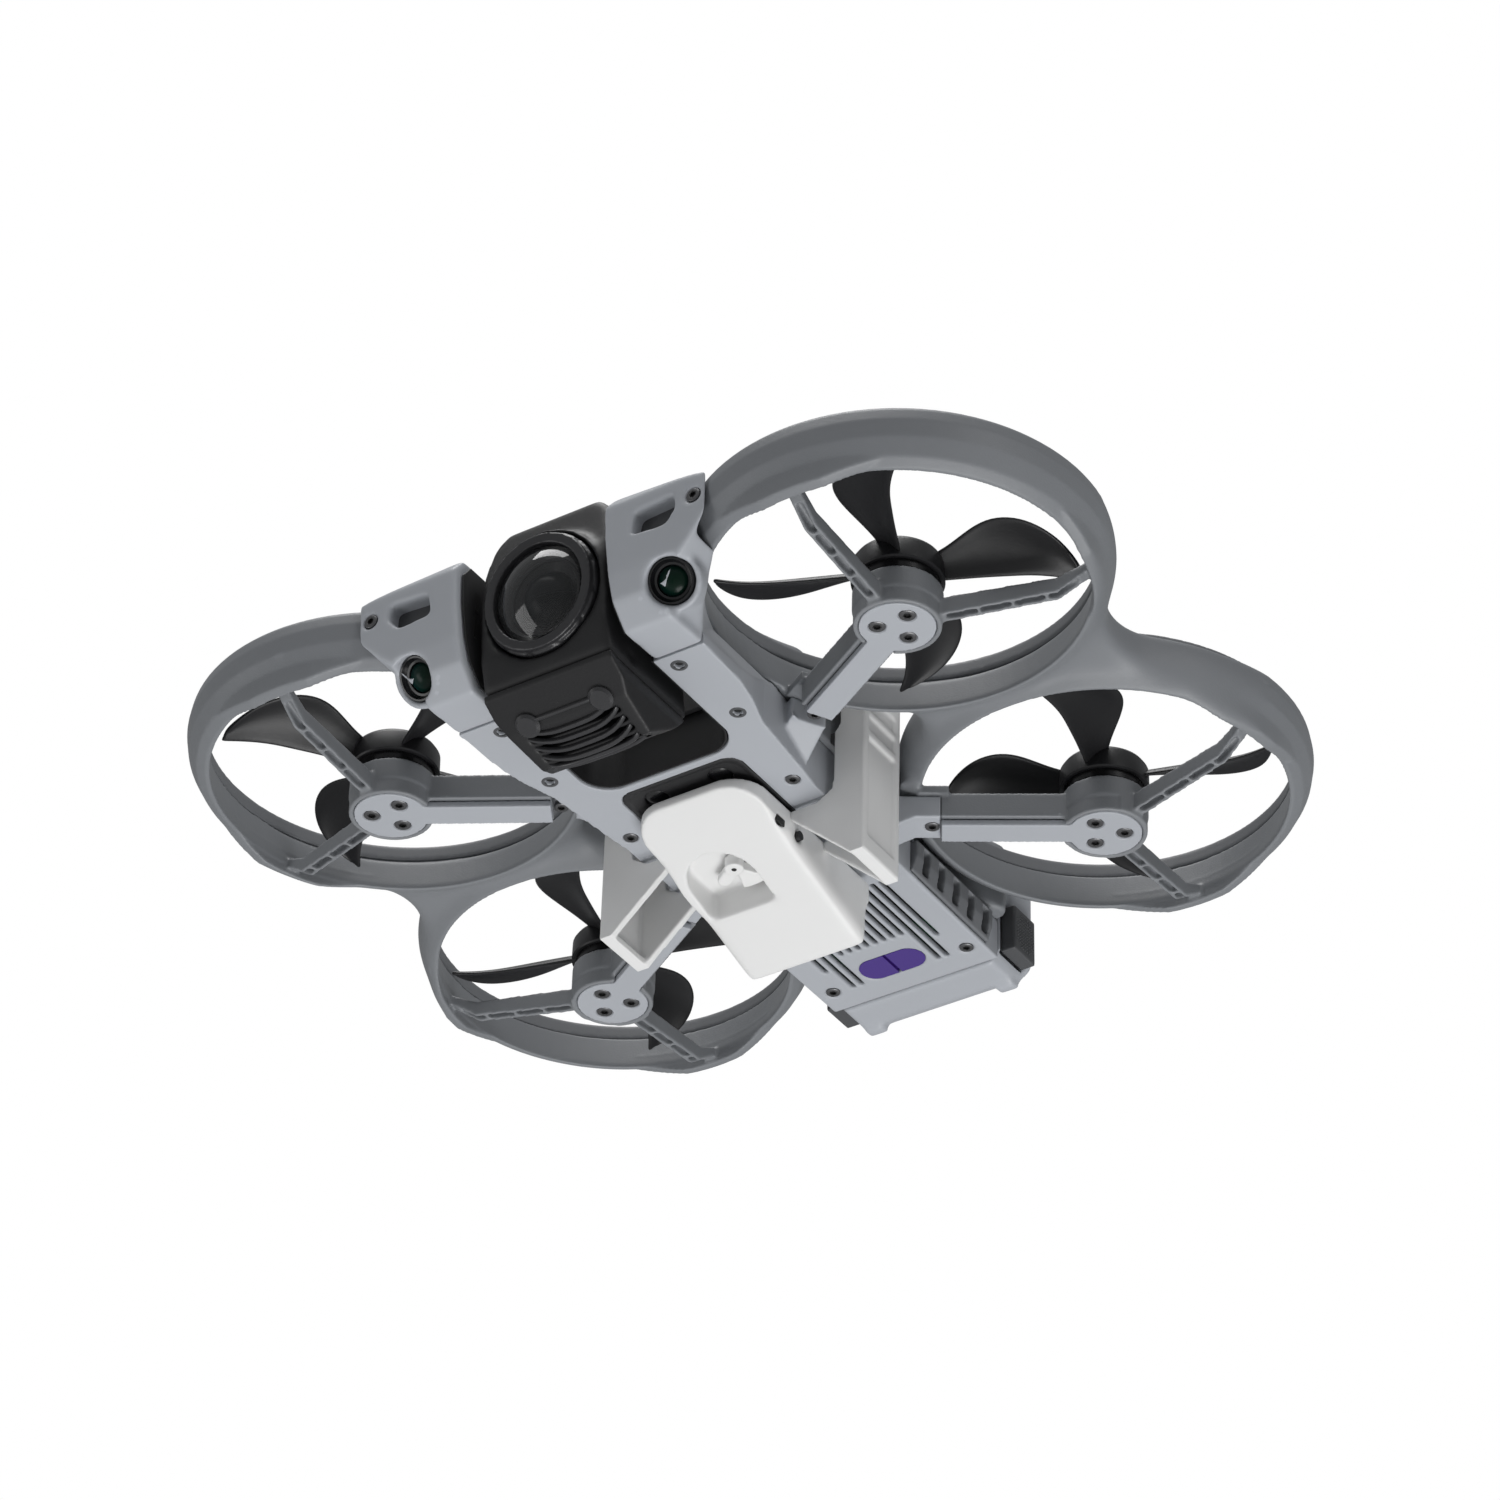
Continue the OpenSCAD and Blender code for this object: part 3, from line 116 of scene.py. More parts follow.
def make_grain_group():
    """Fine spark-eroded mould texture with a slower orange-peel swell under it."""
    group, given, result = new_group(
        "mould_grain",
        [("Place", "NodeSocketVector", (0, 0, 0)), ("Scale", "NodeSocketFloat", 2600.0),
         ("Strength", "NodeSocketFloat", 0.2)],
        [("Normal", "NodeSocketVector"), ("Grain", "NodeSocketFloat")])
    fine = noise_node(group, given["Place"], given["Scale"], 3)
    coarse_scale = math_node(group, "MULTIPLY", given["Scale"], 0.12)
    swell = noise_node(group, given["Place"], coarse_scale, 2)
    height = math_node(group, "ADD", fine, math_node(group, "MULTIPLY", swell, 0.8))
    bump = group.nodes.new("ShaderNodeBump")
    bump.inputs["Distance"].default_value = 0.00012
    group.links.new(given["Strength"], bump.inputs["Strength"])
    group.links.new(height, bump.inputs["Height"])
    group.links.new(bump.outputs["Normal"], result["Normal"])
    group.links.new(fine, result["Grain"])
    return group


def make_wear_and_shade_group():
    """Base colour that drifts over the surface, pales on handled edges and darkens in recesses as painted
    shade.
    """
    group, given, result = new_group(
        "handled_plastic_painted_shade",
        [("Place", "NodeSocketVector", (0, 0, 0)), ("Color", "NodeSocketColor", (1, 1, 1, 1)),
         ("Drift", "NodeSocketFloat", 0.08), ("Edge", "NodeSocketFloat", 0.25),
         ("Rough", "NodeSocketFloat", 0.5)],
        [("Color", "NodeSocketColor"), ("Roughness", "NodeSocketFloat")])
    patches = noise_node(group, given["Place"], 34.0, 3)
    specks = noise_node(group, given["Place"], 900.0, 4, 0.7)
    drift = math_node(group, "MULTIPLY", math_node(group, "SUBTRACT", patches, 0.5), given["Drift"])
    shape = group.nodes.new("ShaderNodeNewGeometry")
    edge_ramp = group.nodes.new("ShaderNodeMapRange")
    edge_ramp.inputs["From Min"].default_value = 0.505
    edge_ramp.inputs["From Max"].default_value = 0.6
    group.links.new(shape.outputs["Pointiness"], edge_ramp.inputs["Value"])
    # Painted shade: concave places, found by pointiness, darken the colour by up to 18 percent.
    recess_shade_ramp = group.nodes.new("ShaderNodeMapRange")
    recess_shade_ramp.inputs["From Min"].default_value = 0.495
    recess_shade_ramp.inputs["From Max"].default_value = 0.42
    group.links.new(shape.outputs["Pointiness"], recess_shade_ramp.inputs["Value"])
    rubbed = math_node(group, "MULTIPLY", edge_ramp.outputs["Result"], specks)
    lift = math_node(group, "MULTIPLY", rubbed, given["Edge"])
    painted_recess_shade = math_node(group, "MULTIPLY", recess_shade_ramp.outputs["Result"], 0.18)
    change = math_node(group, "SUBTRACT", math_node(group, "ADD", drift, lift), painted_recess_shade)
    factor = math_node(group, "ADD", change, 1.0)
    scale = group.nodes.new("ShaderNodeVectorMath")
    scale.operation = "SCALE"
    group.links.new(given["Color"], scale.inputs[0])
    group.links.new(factor, scale.inputs["Scale"])
    group.links.new(scale.outputs[0], result["Color"])
    share = math_node(group, "MULTIPLY", math_node(group, "SUBTRACT", specks, 0.5), 0.3)
    spread = math_node(group, "MULTIPLY", share, given["Rough"])
    group.links.new(math_node(group, "ADD", given["Rough"], spread), result["Roughness"])
    return group


grain_group = make_grain_group()
wear_and_shade_group = make_wear_and_shade_group()


# ---- Materials ----

def place_group(tree, group, place, values):
    node = tree.nodes.new("ShaderNodeGroup")
    node.node_tree = group
    tree.links.new(place, node.inputs["Place"])
    for label, value in values.items():
        node.inputs[label].default_value = value
    return node.outputs


def moulded_material(name, color, rough, grain=0.2, grain_scale=2600.0, drift=0.08, edge=0.25,
                     specular=0.5, coat=0.0, metallic=0.0):
    """Moulded or machined finish with grain, colour drift, rubbed edges and painted shade in recesses."""
    material = bpy.data.materials.new(name)
    material.use_nodes = True
    tree = material.node_tree
    shader = tree.nodes["Principled BSDF"]
    place = tree.nodes.new("ShaderNodeTexCoord").outputs["Object"]
    worn_and_shaded = place_group(tree, wear_and_shade_group, place,
                       {"Color": (*color, 1), "Drift": drift, "Edge": edge, "Rough": rough})
    grained = place_group(tree, grain_group, place, {"Scale": grain_scale, "Strength": grain})
    tree.links.new(worn_and_shaded["Color"], shader.inputs["Base Color"])
    tree.links.new(worn_and_shaded["Roughness"], shader.inputs["Roughness"])
    tree.links.new(grained["Normal"], shader.inputs["Normal"])
    shader.inputs["Specular IOR Level"].default_value = specular
    shader.inputs["Coat Weight"].default_value = coat
    shader.inputs["Coat Roughness"].default_value = 0.08
    shader.inputs["Metallic"].default_value = metallic
    material.diffuse_color = (*color, 1)
    return material


def clear_material(name, tint, opacity):
    """Thin clear cover: mostly see-through, with a gloss that grows towards its rim and faint smears."""
    material = bpy.data.materials.new(name)
    material.use_nodes = True
    tree = material.node_tree
    shader = tree.nodes["Principled BSDF"]
    place = tree.nodes.new("ShaderNodeTexCoord").outputs["Object"]
    smears = noise_node(tree, place, 260.0, 3)
    roughness = math_node(tree, "ADD", math_node(tree, "MULTIPLY", smears, 0.04), 0.02)
    tree.links.new(roughness, shader.inputs["Roughness"])
    facing = tree.nodes.new("ShaderNodeLayerWeight")
    facing.inputs["Blend"].default_value = 0.25
    cover = math_node(tree, "ADD", math_node(tree, "MULTIPLY", facing.outputs["Facing"], 0.5), opacity)
    tree.links.new(cover, shader.inputs["Alpha"])
    shader.inputs["Base Color"].default_value = (*tint, 1)
    shader.inputs["Specular IOR Level"].default_value = 0.8
    shader.inputs["Coat Weight"].default_value = 0.6
    shader.inputs["Coat Roughness"].default_value = 0.02
    return material


def coated_material(name, center, rim, specular=0.8):
    """Dark lens element whose anti-reflection coating shifts colour towards its rim."""
    material = bpy.data.materials.new(name)
    material.use_nodes = True
    tree = material.node_tree
    shader = tree.nodes["Principled BSDF"]
    place = tree.nodes.new("ShaderNodeTexCoord").outputs["Object"]
    mask = noise_node(tree, place, 150.0, 1)
    facing = tree.nodes.new("ShaderNodeLayerWeight")
    facing.inputs["Blend"].default_value = 0.35
    blend = tree.nodes.new("ShaderNodeMix")
    blend.data_type = "RGBA"
    blend.inputs["A"].default_value = (*center, 1)
    blend.inputs["B"].default_value = (*rim, 1)
    share = math_node(tree, "MULTIPLY", facing.outputs["Facing"], math_node(tree, "ADD", mask, 0.4))
    tree.links.new(share, blend.inputs["Factor"])
    tree.links.new(blend.outputs["Result"], shader.inputs["Base Color"])
    shader.inputs["Roughness"].default_value = 0.28
    shader.inputs["Specular IOR Level"].default_value = specular
    shader.inputs["Coat Weight"].default_value = 0.05
    shader.inputs["Coat Roughness"].default_value = 0.05
    return material


body_light = moulded_material("body_light", (0.385, 0.402, 0.432), 0.46, grain=0.16, drift=0.05)
guard_grey = moulded_material("guard_grey", (0.190, 0.199, 0.212), 0.48, grain=0.3, grain_scale=2100.0,
                              drift=0.09)
rim_grey = moulded_material("rim_grey", (0.15, 0.156, 0.166), 0.5, grain=0.3)
shell_dark = moulded_material("shell_dark", (0.062, 0.064, 0.068), 0.5, grain=0.3)
gimbal_charcoal = moulded_material("gimbal_charcoal", (0.0135, 0.0135, 0.0145), 0.46, grain=0.25,
                                   grain_scale=3000.0, edge=0.3, specular=0.35)
prop_charcoal = moulded_material("prop_charcoal", (0.010, 0.010, 0.011), 0.40, grain=0.12,
                                 grain_scale=1800.0, edge=0.6, specular=0.35)
ring_charcoal = moulded_material("ring_charcoal", (0.026, 0.026, 0.028), 0.34, grain=0.15, edge=0.4)
black_gloss = moulded_material("black_gloss", (0.006, 0.006, 0.007), 0.24, grain=0.0, coat=0.2, edge=0.1)
black_matte = moulded_material("black_matte", (0.012, 0.012, 0.013), 0.55, grain=0.25)
rubber_black = moulded_material("rubber_black", (0.020, 0.020, 0.021), 0.72, grain=0.5, grain_scale=1500.0)
launcher_white = moulded_material("launcher_white", (0.75, 0.75, 0.745), 0.42, grain=0.1, drift=0.02,
                                  edge=0.05)
violet_window = moulded_material("violet_window", (0.048, 0.016, 0.20), 0.16, grain=0.03, coat=0.5, edge=0.0)
screw_steel = moulded_material("screw_steel", (0.105, 0.105, 0.108), 0.36, grain=0.15, metallic=0.8,
                               edge=1.2)
# Near-black for screw sockets, slots, hole bottoms and the charging port: painted shade in these openings,
# and at the port also its own dark insides.
hole_shade_black = moulded_material("hole_shade_black", (0.006, 0.006, 0.006), 0.5, grain=0.1)
bell_black = moulded_material("bell_black", (0.018, 0.018, 0.019), 0.28, grain=0.1, metallic=0.6)
copper_wire = moulded_material("copper_wire", (0.45, 0.19, 0.08), 0.35, grain=0.5, grain_scale=900.0,
                               metallic=0.9)
bearing_steel = moulded_material("bearing_steel", (0.42, 0.42, 0.43), 0.25, grain=0.05, metallic=1.0)
board_green = moulded_material("board_green", (0.012, 0.065, 0.035), 0.4, grain=0.2, drift=0.3)
cell_wrap = moulded_material("cell_wrap", (0.03, 0.10, 0.22), 0.35, grain=0.1, coat=0.3)
heat_black = moulded_material("heat_black", (0.020, 0.020, 0.021), 0.42, grain=0.2, metallic=0.3)
dome_glass = clear_material("dome_glass", (0.010, 0.011, 0.012), 0.42)
element_glass = coated_material("element_glass", (0.004, 0.005, 0.006), (0.012, 0.018, 0.020), specular=0.2)
fisheye_glass = coated_material("fisheye_glass", (0.001, 0.010, 0.005), (0.004, 0.03, 0.03), specular=0.15)


# ---- Modelling helpers ----

def only(obj):
    """Leaves obj as the one selected and active object."""
    if bpy.context.object and bpy.context.object.mode != "OBJECT":
        bpy.ops.object.mode_set(mode="OBJECT")
    bpy.ops.object.select_all(action="DESELECT")
    obj.select_set(True)
    bpy.context.view_layer.objects.active = obj


def clear_selection():
    if bpy.context.object and bpy.context.object.mode != "OBJECT":
        bpy.ops.object.mode_set(mode="OBJECT")
    bpy.ops.object.select_all(action="DESELECT")


def apply_all(obj):
    only(obj)
    for modifier in list(obj.modifiers):
        bpy.ops.object.modifier_apply(modifier=modifier.name)


def node_copy(name, *nodes):
    """A merged copy of CAD nodes as one new mesh object."""
    copies = []
    for node in nodes:
        copy = bpy.data.objects.new(name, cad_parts[node].data.copy())
        copy.data.materials.clear()
        bpy.context.scene.collection.objects.link(copy)
        copies.append(copy)
    obj = join(name, copies)
    only(obj)
    bpy.ops.object.mode_set(mode="EDIT")
    bpy.ops.mesh.select_all(action="SELECT")
    bpy.ops.mesh.remove_doubles(threshold=1e-6)
    bpy.ops.object.mode_set(mode="OBJECT")
    return obj


def join(name, parts):
    only(parts[0])
    for part in parts:
        part.select_set(True)
    if len(parts) > 1:
        bpy.ops.object.join()
    parts[0].name = name
    parts[0].data.name = name
    return parts[0]


def duplicate(obj, matrix):
    """A copy with its own mesh, put in place by a matrix."""
    copy = bpy.data.objects.new(obj.name, obj.data.copy())
    bpy.context.scene.collection.objects.link(copy)
    copy.data.transform(matrix)
    if matrix.determinant() < 0:
        copy.data.flip_normals()
    return copy


def discard(obj):
    bpy.data.objects.remove(obj)


def finish_piece(obj, body, material, *nodes):
    """Gives a piece its material and body, and lets it stand for CAD nodes."""
    if material is not None:
        obj.data.materials.clear()
        obj.data.materials.append(material)
    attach(obj, body)
    if nodes:
        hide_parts(*nodes)
    return obj


def triangles(obj):
    return sum(len(face.vertices) - 2 for face in obj.data.polygons)


def mould(name, body, material, nodes, voxel=0.6, passes=5, limit=150000, extras=(), zone=None,
          zone_passes=0):
    """Rounds every edge of some CAD nodes, as a mould does, and skins them as one piece.
    zone takes a point in millimetres and gives the share, from 0 to 1, of zone_passes more of smoothing.
    limit is the most triangles the piece may keep."""
    obj = node_copy(name, *nodes)
    if extras:
        obj = join(name, [obj, *extras])
    skin = obj.modifiers.new("skin", "REMESH")
    skin.mode = "VOXEL"
    skin.voxel_size = voxel * MM
    skin.use_smooth_shade = True
    soften = obj.modifiers.new("soften", "SMOOTH")
    soften.factor = 0.5
    soften.iterations = passes
    apply_all(obj)
    if zone is not None:
        group = obj.vertex_groups.new(name="blend")
        for vertex in obj.data.vertices:
            share = zone(vertex.co / MM)
            if share > 0:
                group.add([vertex.index], min(share, 1.0), "REPLACE")
        blend = obj.modifiers.new("blend", "SMOOTH")
        blend.factor = 0.5
        blend.iterations = zone_passes
        blend.vertex_group = "blend"
        apply_all(obj)
        obj.vertex_groups.clear()
    count = triangles(obj)
    if count > limit:
        thin = obj.modifiers.new("thin", "DECIMATE")
        thin.ratio = limit / count
        apply_all(obj)
        bpy.ops.object.shade_smooth()
    return finish_piece(obj, body, material, *nodes)


def turned(name, profile, sides=64, ring=False, open_end=False):
    """Turns a profile of (radius, height) in millimetres round the Z axis, ring by ring.
    ring joins the two ends to each other. Otherwise they are filled, unless open_end leaves them open."""
    clear_selection()
    radius, height = profile[0]
    bpy.ops.mesh.primitive_circle_add(vertices=sides, radius=radius * MM, location=(0, 0, height * MM))
    obj = bpy.context.object
    obj.name = name
    bpy.ops.object.transform_apply(location=True)
    bpy.ops.object.mode_set(mode="EDIT")
    bpy.ops.mesh.select_all(action="SELECT")
    for next_radius, next_height in profile[1:]:
        rise = (0, 0, (next_height - height) * MM)
        bpy.ops.mesh.extrude_region_move(TRANSFORM_OT_translate={"value": rise})
        share = next_radius / radius
        bpy.ops.transform.resize(value=(share, share, 1), center_override=(0, 0, next_height * MM))
        radius, height = next_radius, next_height
    bpy.ops.mesh.select_all(action="DESELECT")
    bpy.ops.mesh.select_non_manifold()
    if ring:
        bpy.ops.mesh.bridge_edge_loops()
    elif not open_end:
        bpy.ops.mesh.fill_holes(sides=0)
    bpy.ops.mesh.select_all(action="SELECT")
    bpy.ops.mesh.normals_make_consistent(inside=False)
    bpy.ops.object.mode_set(mode="OBJECT")
    bpy.ops.object.shade_smooth_by_angle(angle=math.radians(35))
    return obj


def plate(name, outline, thickness, bevel=0.0):
    """A flat plate over an outline in X and Y, standing from zero up to its thickness."""
    clear_selection()
    bpy.ops.mesh.primitive_circle_add(vertices=len(outline), radius=1, fill_type="NGON")
    obj = bpy.context.object
    obj.name = name
    for vertex, (x, y) in zip(obj.data.vertices, outline):
        vertex.co = Vector((x, y, 0)) * MM
    bpy.ops.object.mode_set(mode="EDIT")
    bpy.ops.mesh.select_all(action="SELECT")
    bpy.ops.mesh.extrude_region_move(TRANSFORM_OT_translate={"value": (0, 0, thickness * MM)})
    bpy.ops.mesh.select_all(action="DESELECT")
    bpy.ops.mesh.select_non_manifold()
    bpy.ops.mesh.fill_holes(sides=0)
    bpy.ops.mesh.select_all(action="SELECT")
    bpy.ops.mesh.normals_make_consistent(inside=False)
    bpy.ops.object.mode_set(mode="OBJECT")
    if bevel > 0:
        edge = obj.modifiers.new("edge", "BEVEL")
        edge.width = bevel * MM
        edge.segments = 3
        edge.limit_method = "ANGLE"
        apply_all(obj)
    bpy.ops.object.shade_smooth_by_angle(angle=math.radians(35))
    return obj


def swept(name, points, width, height):
    """A bar of rectangular section, in millimetres, that runs through a list of points."""
    clear_selection()
    bpy.ops.mesh.primitive_plane_add(size=1, rotation=(0, math.radians(90), 0))
    obj = bpy.context.object
    obj.name = name
    bpy.ops.object.transform_apply(rotation=True)
    for vertex in obj.data.vertices:
        vertex.co = Vector((0, vertex.co.y * width, vertex.co.z * height)) * MM + Vector(points[0]) * MM
    bpy.ops.object.mode_set(mode="EDIT")
    bpy.ops.mesh.select_all(action="SELECT")
    for start, end in zip(points, points[1:]):
        step = (Vector(end) - Vector(start)) * MM
        bpy.ops.mesh.extrude_region_move(TRANSFORM_OT_translate={"value": step})
    bpy.ops.mesh.select_all(action="DESELECT")
    bpy.ops.mesh.select_non_manifold()
    bpy.ops.mesh.fill_holes(sides=0)
    bpy.ops.mesh.select_all(action="SELECT")
    bpy.ops.mesh.normals_make_consistent(inside=False)
    bpy.ops.object.mode_set(mode="OBJECT")
    edge = obj.modifiers.new("edge", "BEVEL")
    edge.width = 0.22 * min(width, height) * MM
    edge.segments = 2
    edge.limit_method = "ANGLE"
    edge.angle_limit = math.radians(50)
    apply_all(obj)
    bpy.ops.object.shade_smooth_by_angle(angle=math.radians(45))
    return obj


def islands(node):
    """Boxes of a node's separate solids, each as (lowest corner, highest corner)."""
    obj = node_copy("islands", node)
    bpy.ops.object.mode_set(mode="EDIT")
    bpy.ops.mesh.select_all(action="SELECT")
    bpy.ops.mesh.separate(type="LOOSE")
    bpy.ops.object.mode_set(mode="OBJECT")
    boxes = []
    for part in list(bpy.context.selected_objects):
        corners = [vertex.co.copy() for vertex in part.data.vertices]
        low = Vector([min(c[i] for c in corners) for i in range(3)])
        high = Vector([max(c[i] for c in corners) for i in range(3)])
        boxes.append((low, high))
        discard(part)
    return boxes


def place_on(point, axis):
    """Matrix that stands a piece drawn along +Z on a point, along an axis."""
    turn = Vector(axis).to_track_quat("Z", "Y").to_matrix().to_4x4()
    return Matrix.Translation(point) @ turn


# ---- Places worked out from the frame ----

HUB_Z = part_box("arm_cover_front_left")[0].z
MOTORS = {}
for corner in ("front_left", "front_right", "rear_left", "rear_right"):
    low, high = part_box("rotor_" + corner)
    MOTORS[corner] = Vector(((low.x + high.x) / 2, (low.y + high.y) / 2, HUB_Z))


# Stations and depths of the body, in millimetres
FORK_Y = -71.4
BAY_BACK_Y = -34.0
NOSE_Y = -94.8
CAVITY_HALF = 20.5
BELLY_Z = HUB_Z / MM - 5.2
PIVOT = Vector((0, -73.7, HUB_Z / MM + 10.5))
# Travels of the latches and the power button, and the room round them
LATCH_TRAVEL = 1.6
BUTTON_TRAVEL = 1.2
BUTTON_GAP = 0.3
# Centre of the launcher's pocket, and the lever's pin
POCKET = (-5.3, -1.5)
LEVER_PIN = (-1.6, -3.0)


# ---- Moulded bodywork ----

DUCT_R = 44.7
RING_R = 51.0
# Turns a plate drawn in X and Y so that it stands in Y and Z
STAND = Matrix(((0, 0, 1, 0), (1, 0, 0, 0), (0, 1, 0, 0), (0, 0, 0, 1)))


def ramp(value, start, end):
    return min(max((value - start) / (end - start), 0.0), 1.0)


def web_zone(point):
    """The saddles between a front and a rear duct, clear of both bores."""
    reach = min(math.hypot(point.x - center.x / MM, point.y - center.y / MM) for center in MOTORS.values())
    return ramp(reach, DUCT_R + 0.9, DUCT_R + 3.5) * (1 - ramp(abs(point.y), 26, 40))


def launcher_zone(point):
    """The launcher's lower edges and corners, clear of its pocket."""
    reach = math.hypot(point.x - POCKET[0], point.y - POCKET[1])
    rear = ramp(point.y, 20, 25)
    return max(ramp(reach, 11.5, 15), rear) * (1 - ramp(point.z, 9, 13))


def strut_skirt(center, angle):
    """The ring's lower edge drops where a leg meets it: a lens-shaped band below the ring."""
    half_spread = math.radians(27)
    clear_selection()
    bpy.ops.mesh.primitive_plane_add(size=1, rotation=(math.radians(90), 0, 0))
    band = bpy.context.object
    bpy.ops.object.transform_apply(rotation=True)
    low, high = 7.0, 13.5
    for vertex in band.data.vertices:
        height = low if vertex.co.z < 0 else high
        radius = DUCT_R + 0.3
        if vertex.co.x > 0:
            radius = RING_R - (3.2 if height == low else 2.2)
            height += 0.6 if height == low else 0
        vertex.co = Vector((radius, 0, height)) * MM
    band.data.transform(Matrix.Rotation(-half_spread, 4, "Z"))
    bpy.ops.object.mode_set(mode="EDIT")
    bpy.ops.mesh.select_all(action="SELECT")
    bpy.ops.mesh.spin(steps=16, angle=-2 * half_spread, center=(0, 0, 0), axis=(0, 0, 1))
    bpy.ops.mesh.select_all(action="SELECT")
    bpy.ops.mesh.remove_doubles(threshold=1e-6)
    bpy.ops.mesh.normals_make_consistent(inside=False)
    bpy.ops.object.mode_set(mode="OBJECT")
    for vertex in band.data.vertices:
        across = math.atan2(vertex.co.y, vertex.co.x) / half_spread
        if vertex.co.z < (low + high) / 2 * MM:
            vertex.co.z += 3.4 * MM * ramp(abs(across), 0.35, 1.0)
    band.data.transform(Matrix.Translation(center) @ Matrix.Rotation(math.radians(angle), 4, "Z"))
    return band


def strut_skirts(side):
    bands = []
    for row, angles in (("front", (-90, 20)), ("rear", (-12, 90))):
        for angle in angles:
            bands.append(strut_skirt(MOTORS[row + "_" + side], angle if side == "right" else 180 - angle))
    return bands


def clear_way(obj, node, travel, clearance, sides=4):
    """Cuts room in a moulding for a button and its travel, with a clearance in millimetres all round.
    Four sides cut a box, and more cut a round hole along Y."""
    low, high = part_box(node)
    travel = Vector(travel) * MM
    low = Vector([min(low[i], low[i] + travel[i]) - clearance * MM for i in range(3)])
    high = Vector([max(high[i], high[i] + travel[i]) + clearance * MM for i in range(3)])
    clear_selection()
    if sides == 4:
        bpy.ops.mesh.primitive_cube_add(size=1)
    else:
        bpy.ops.mesh.primitive_cylinder_add(vertices=sides, radius=0.5, depth=1,
                                            rotation=(math.radians(90), 0, 0))
    cutter = bpy.context.object
    bpy.ops.object.transform_apply(rotation=True)
    for vertex in cutter.data.vertices:
        vertex.co = (low + high) / 2 + Vector([vertex.co[i] * (high[i] - low[i]) for i in range(3)])
    room = obj.modifiers.new("room", "BOOLEAN")
    room.operation = "DIFFERENCE"
    room.object = cutter
    apply_all(obj)
    discard(cutter)
    bpy.ops.object.shade_smooth_by_angle(angle=math.radians(35))


mould("belly_moulding", "airframe", body_light, ["belly_frame"], voxel=0.42, passes=3, limit=195000)
mould("top_shell_moulding", "airframe", guard_grey, ["top_shell"], voxel=0.7, passes=5)
for side in ("left", "right"):
    mould("front_pod_moulding_" + side, "airframe", body_light, ["front_pod_" + side], voxel=0.4, passes=48)
    mould("guard_moulding_" + side, "airframe", guard_grey, ["guard_" + side], voxel=0.42, passes=3,
          limit=195000, extras=strut_skirts(side), zone=web_zone, zone_passes=420)
    mould("guard_rim_moulding_" + side, "airframe", rim_grey, ["guard_rim_" + side], voxel=0.55, passes=4,
          limit=90000)
    mould("clamp_moulding_" + side, "airframe", launcher_white, ["clamp_" + side], voxel=0.4, passes=2,
          limit=120000)
    mould("latch_moulding_" + side, "latch_" + side, shell_dark, ["latch_" + side], voxel=0.35, passes=8)
for corner in MOTORS:
    mould("arm_cover_moulding_" + corner, "airframe", body_light, ["arm_cover_" + corner], voxel=0.35,
          passes=3, limit=30000)
mould("camera_moulding", "camera", gimbal_charcoal, ["camera_housing"], voxel=0.5, passes=60)
mould("chin_moulding", "camera", gimbal_charcoal, ["camera_chin"], voxel=0.35, passes=14, limit=120000)
battery_moulding = mould("battery_moulding", "battery", body_light, ["battery_case"], voxel=0.6, passes=10)
clear_way(battery_moulding, "latch_left", (LATCH_TRAVEL, 0, 0), BUTTON_GAP)
clear_way(battery_moulding, "latch_right", (-LATCH_TRAVEL, 0, 0), BUTTON_GAP)
clear_way(battery_moulding, "power_button", (0, -BUTTON_TRAVEL, 0), BUTTON_GAP, sides=48)
mould("launcher_moulding", "airframe", launcher_white, ["launcher_shell"], voxel=0.4, passes=10,
      limit=150000, zone=launcher_zone, zone_passes=230)
mould("lever_moulding", "release_lever", launcher_white, ["release_lever"], voxel=0.25, passes=6,
      limit=40000)
mould("vent_moulding", "airframe", rim_grey, ["vent_grilles"], voxel=0.35, passes=3, limit=60000)
mould("sensor_panel_moulding", "airframe", black_matte, ["sensor_panel"], voxel=0.35, passes=2, limit=60000)
for end in ("front", "rear"):
    mould("lens_ring_moulding_" + end, "camera", ring_charcoal, ["lens_ring_" + end], voxel=0.3, passes=3,
          limit=60000)


# ---- Propellers ----

# Radius, leading edge, trailing edge and pitch of a blade's sections, in millimetres and degrees
BLADE_SECTIONS = [(8.5, 3.2, -3.4, 40), (11.5, 4.3, -3.6, 36), (15, 6.3, -3.9, 33), (20, 9.4, -4.3, 30),
                  (25, 10.8, -4.9, 27), (30.5, 9.9, -5.5, 24), (35.3, 6.8, -6.8, 21), (38.8, 2.6, -8.2, 18),
                  (41.0, -2.6, -9.2, 16), (41.9, -6.6, -9.4, 15)]
# Hand and angle of the first blade: +1 faces its leading edges clockwise from above
PROP_HANDS = {"front_left": (-1, 240), "front_right": (1, 19), "rear_left": (1, 10), "rear_right": (-1, 20)}


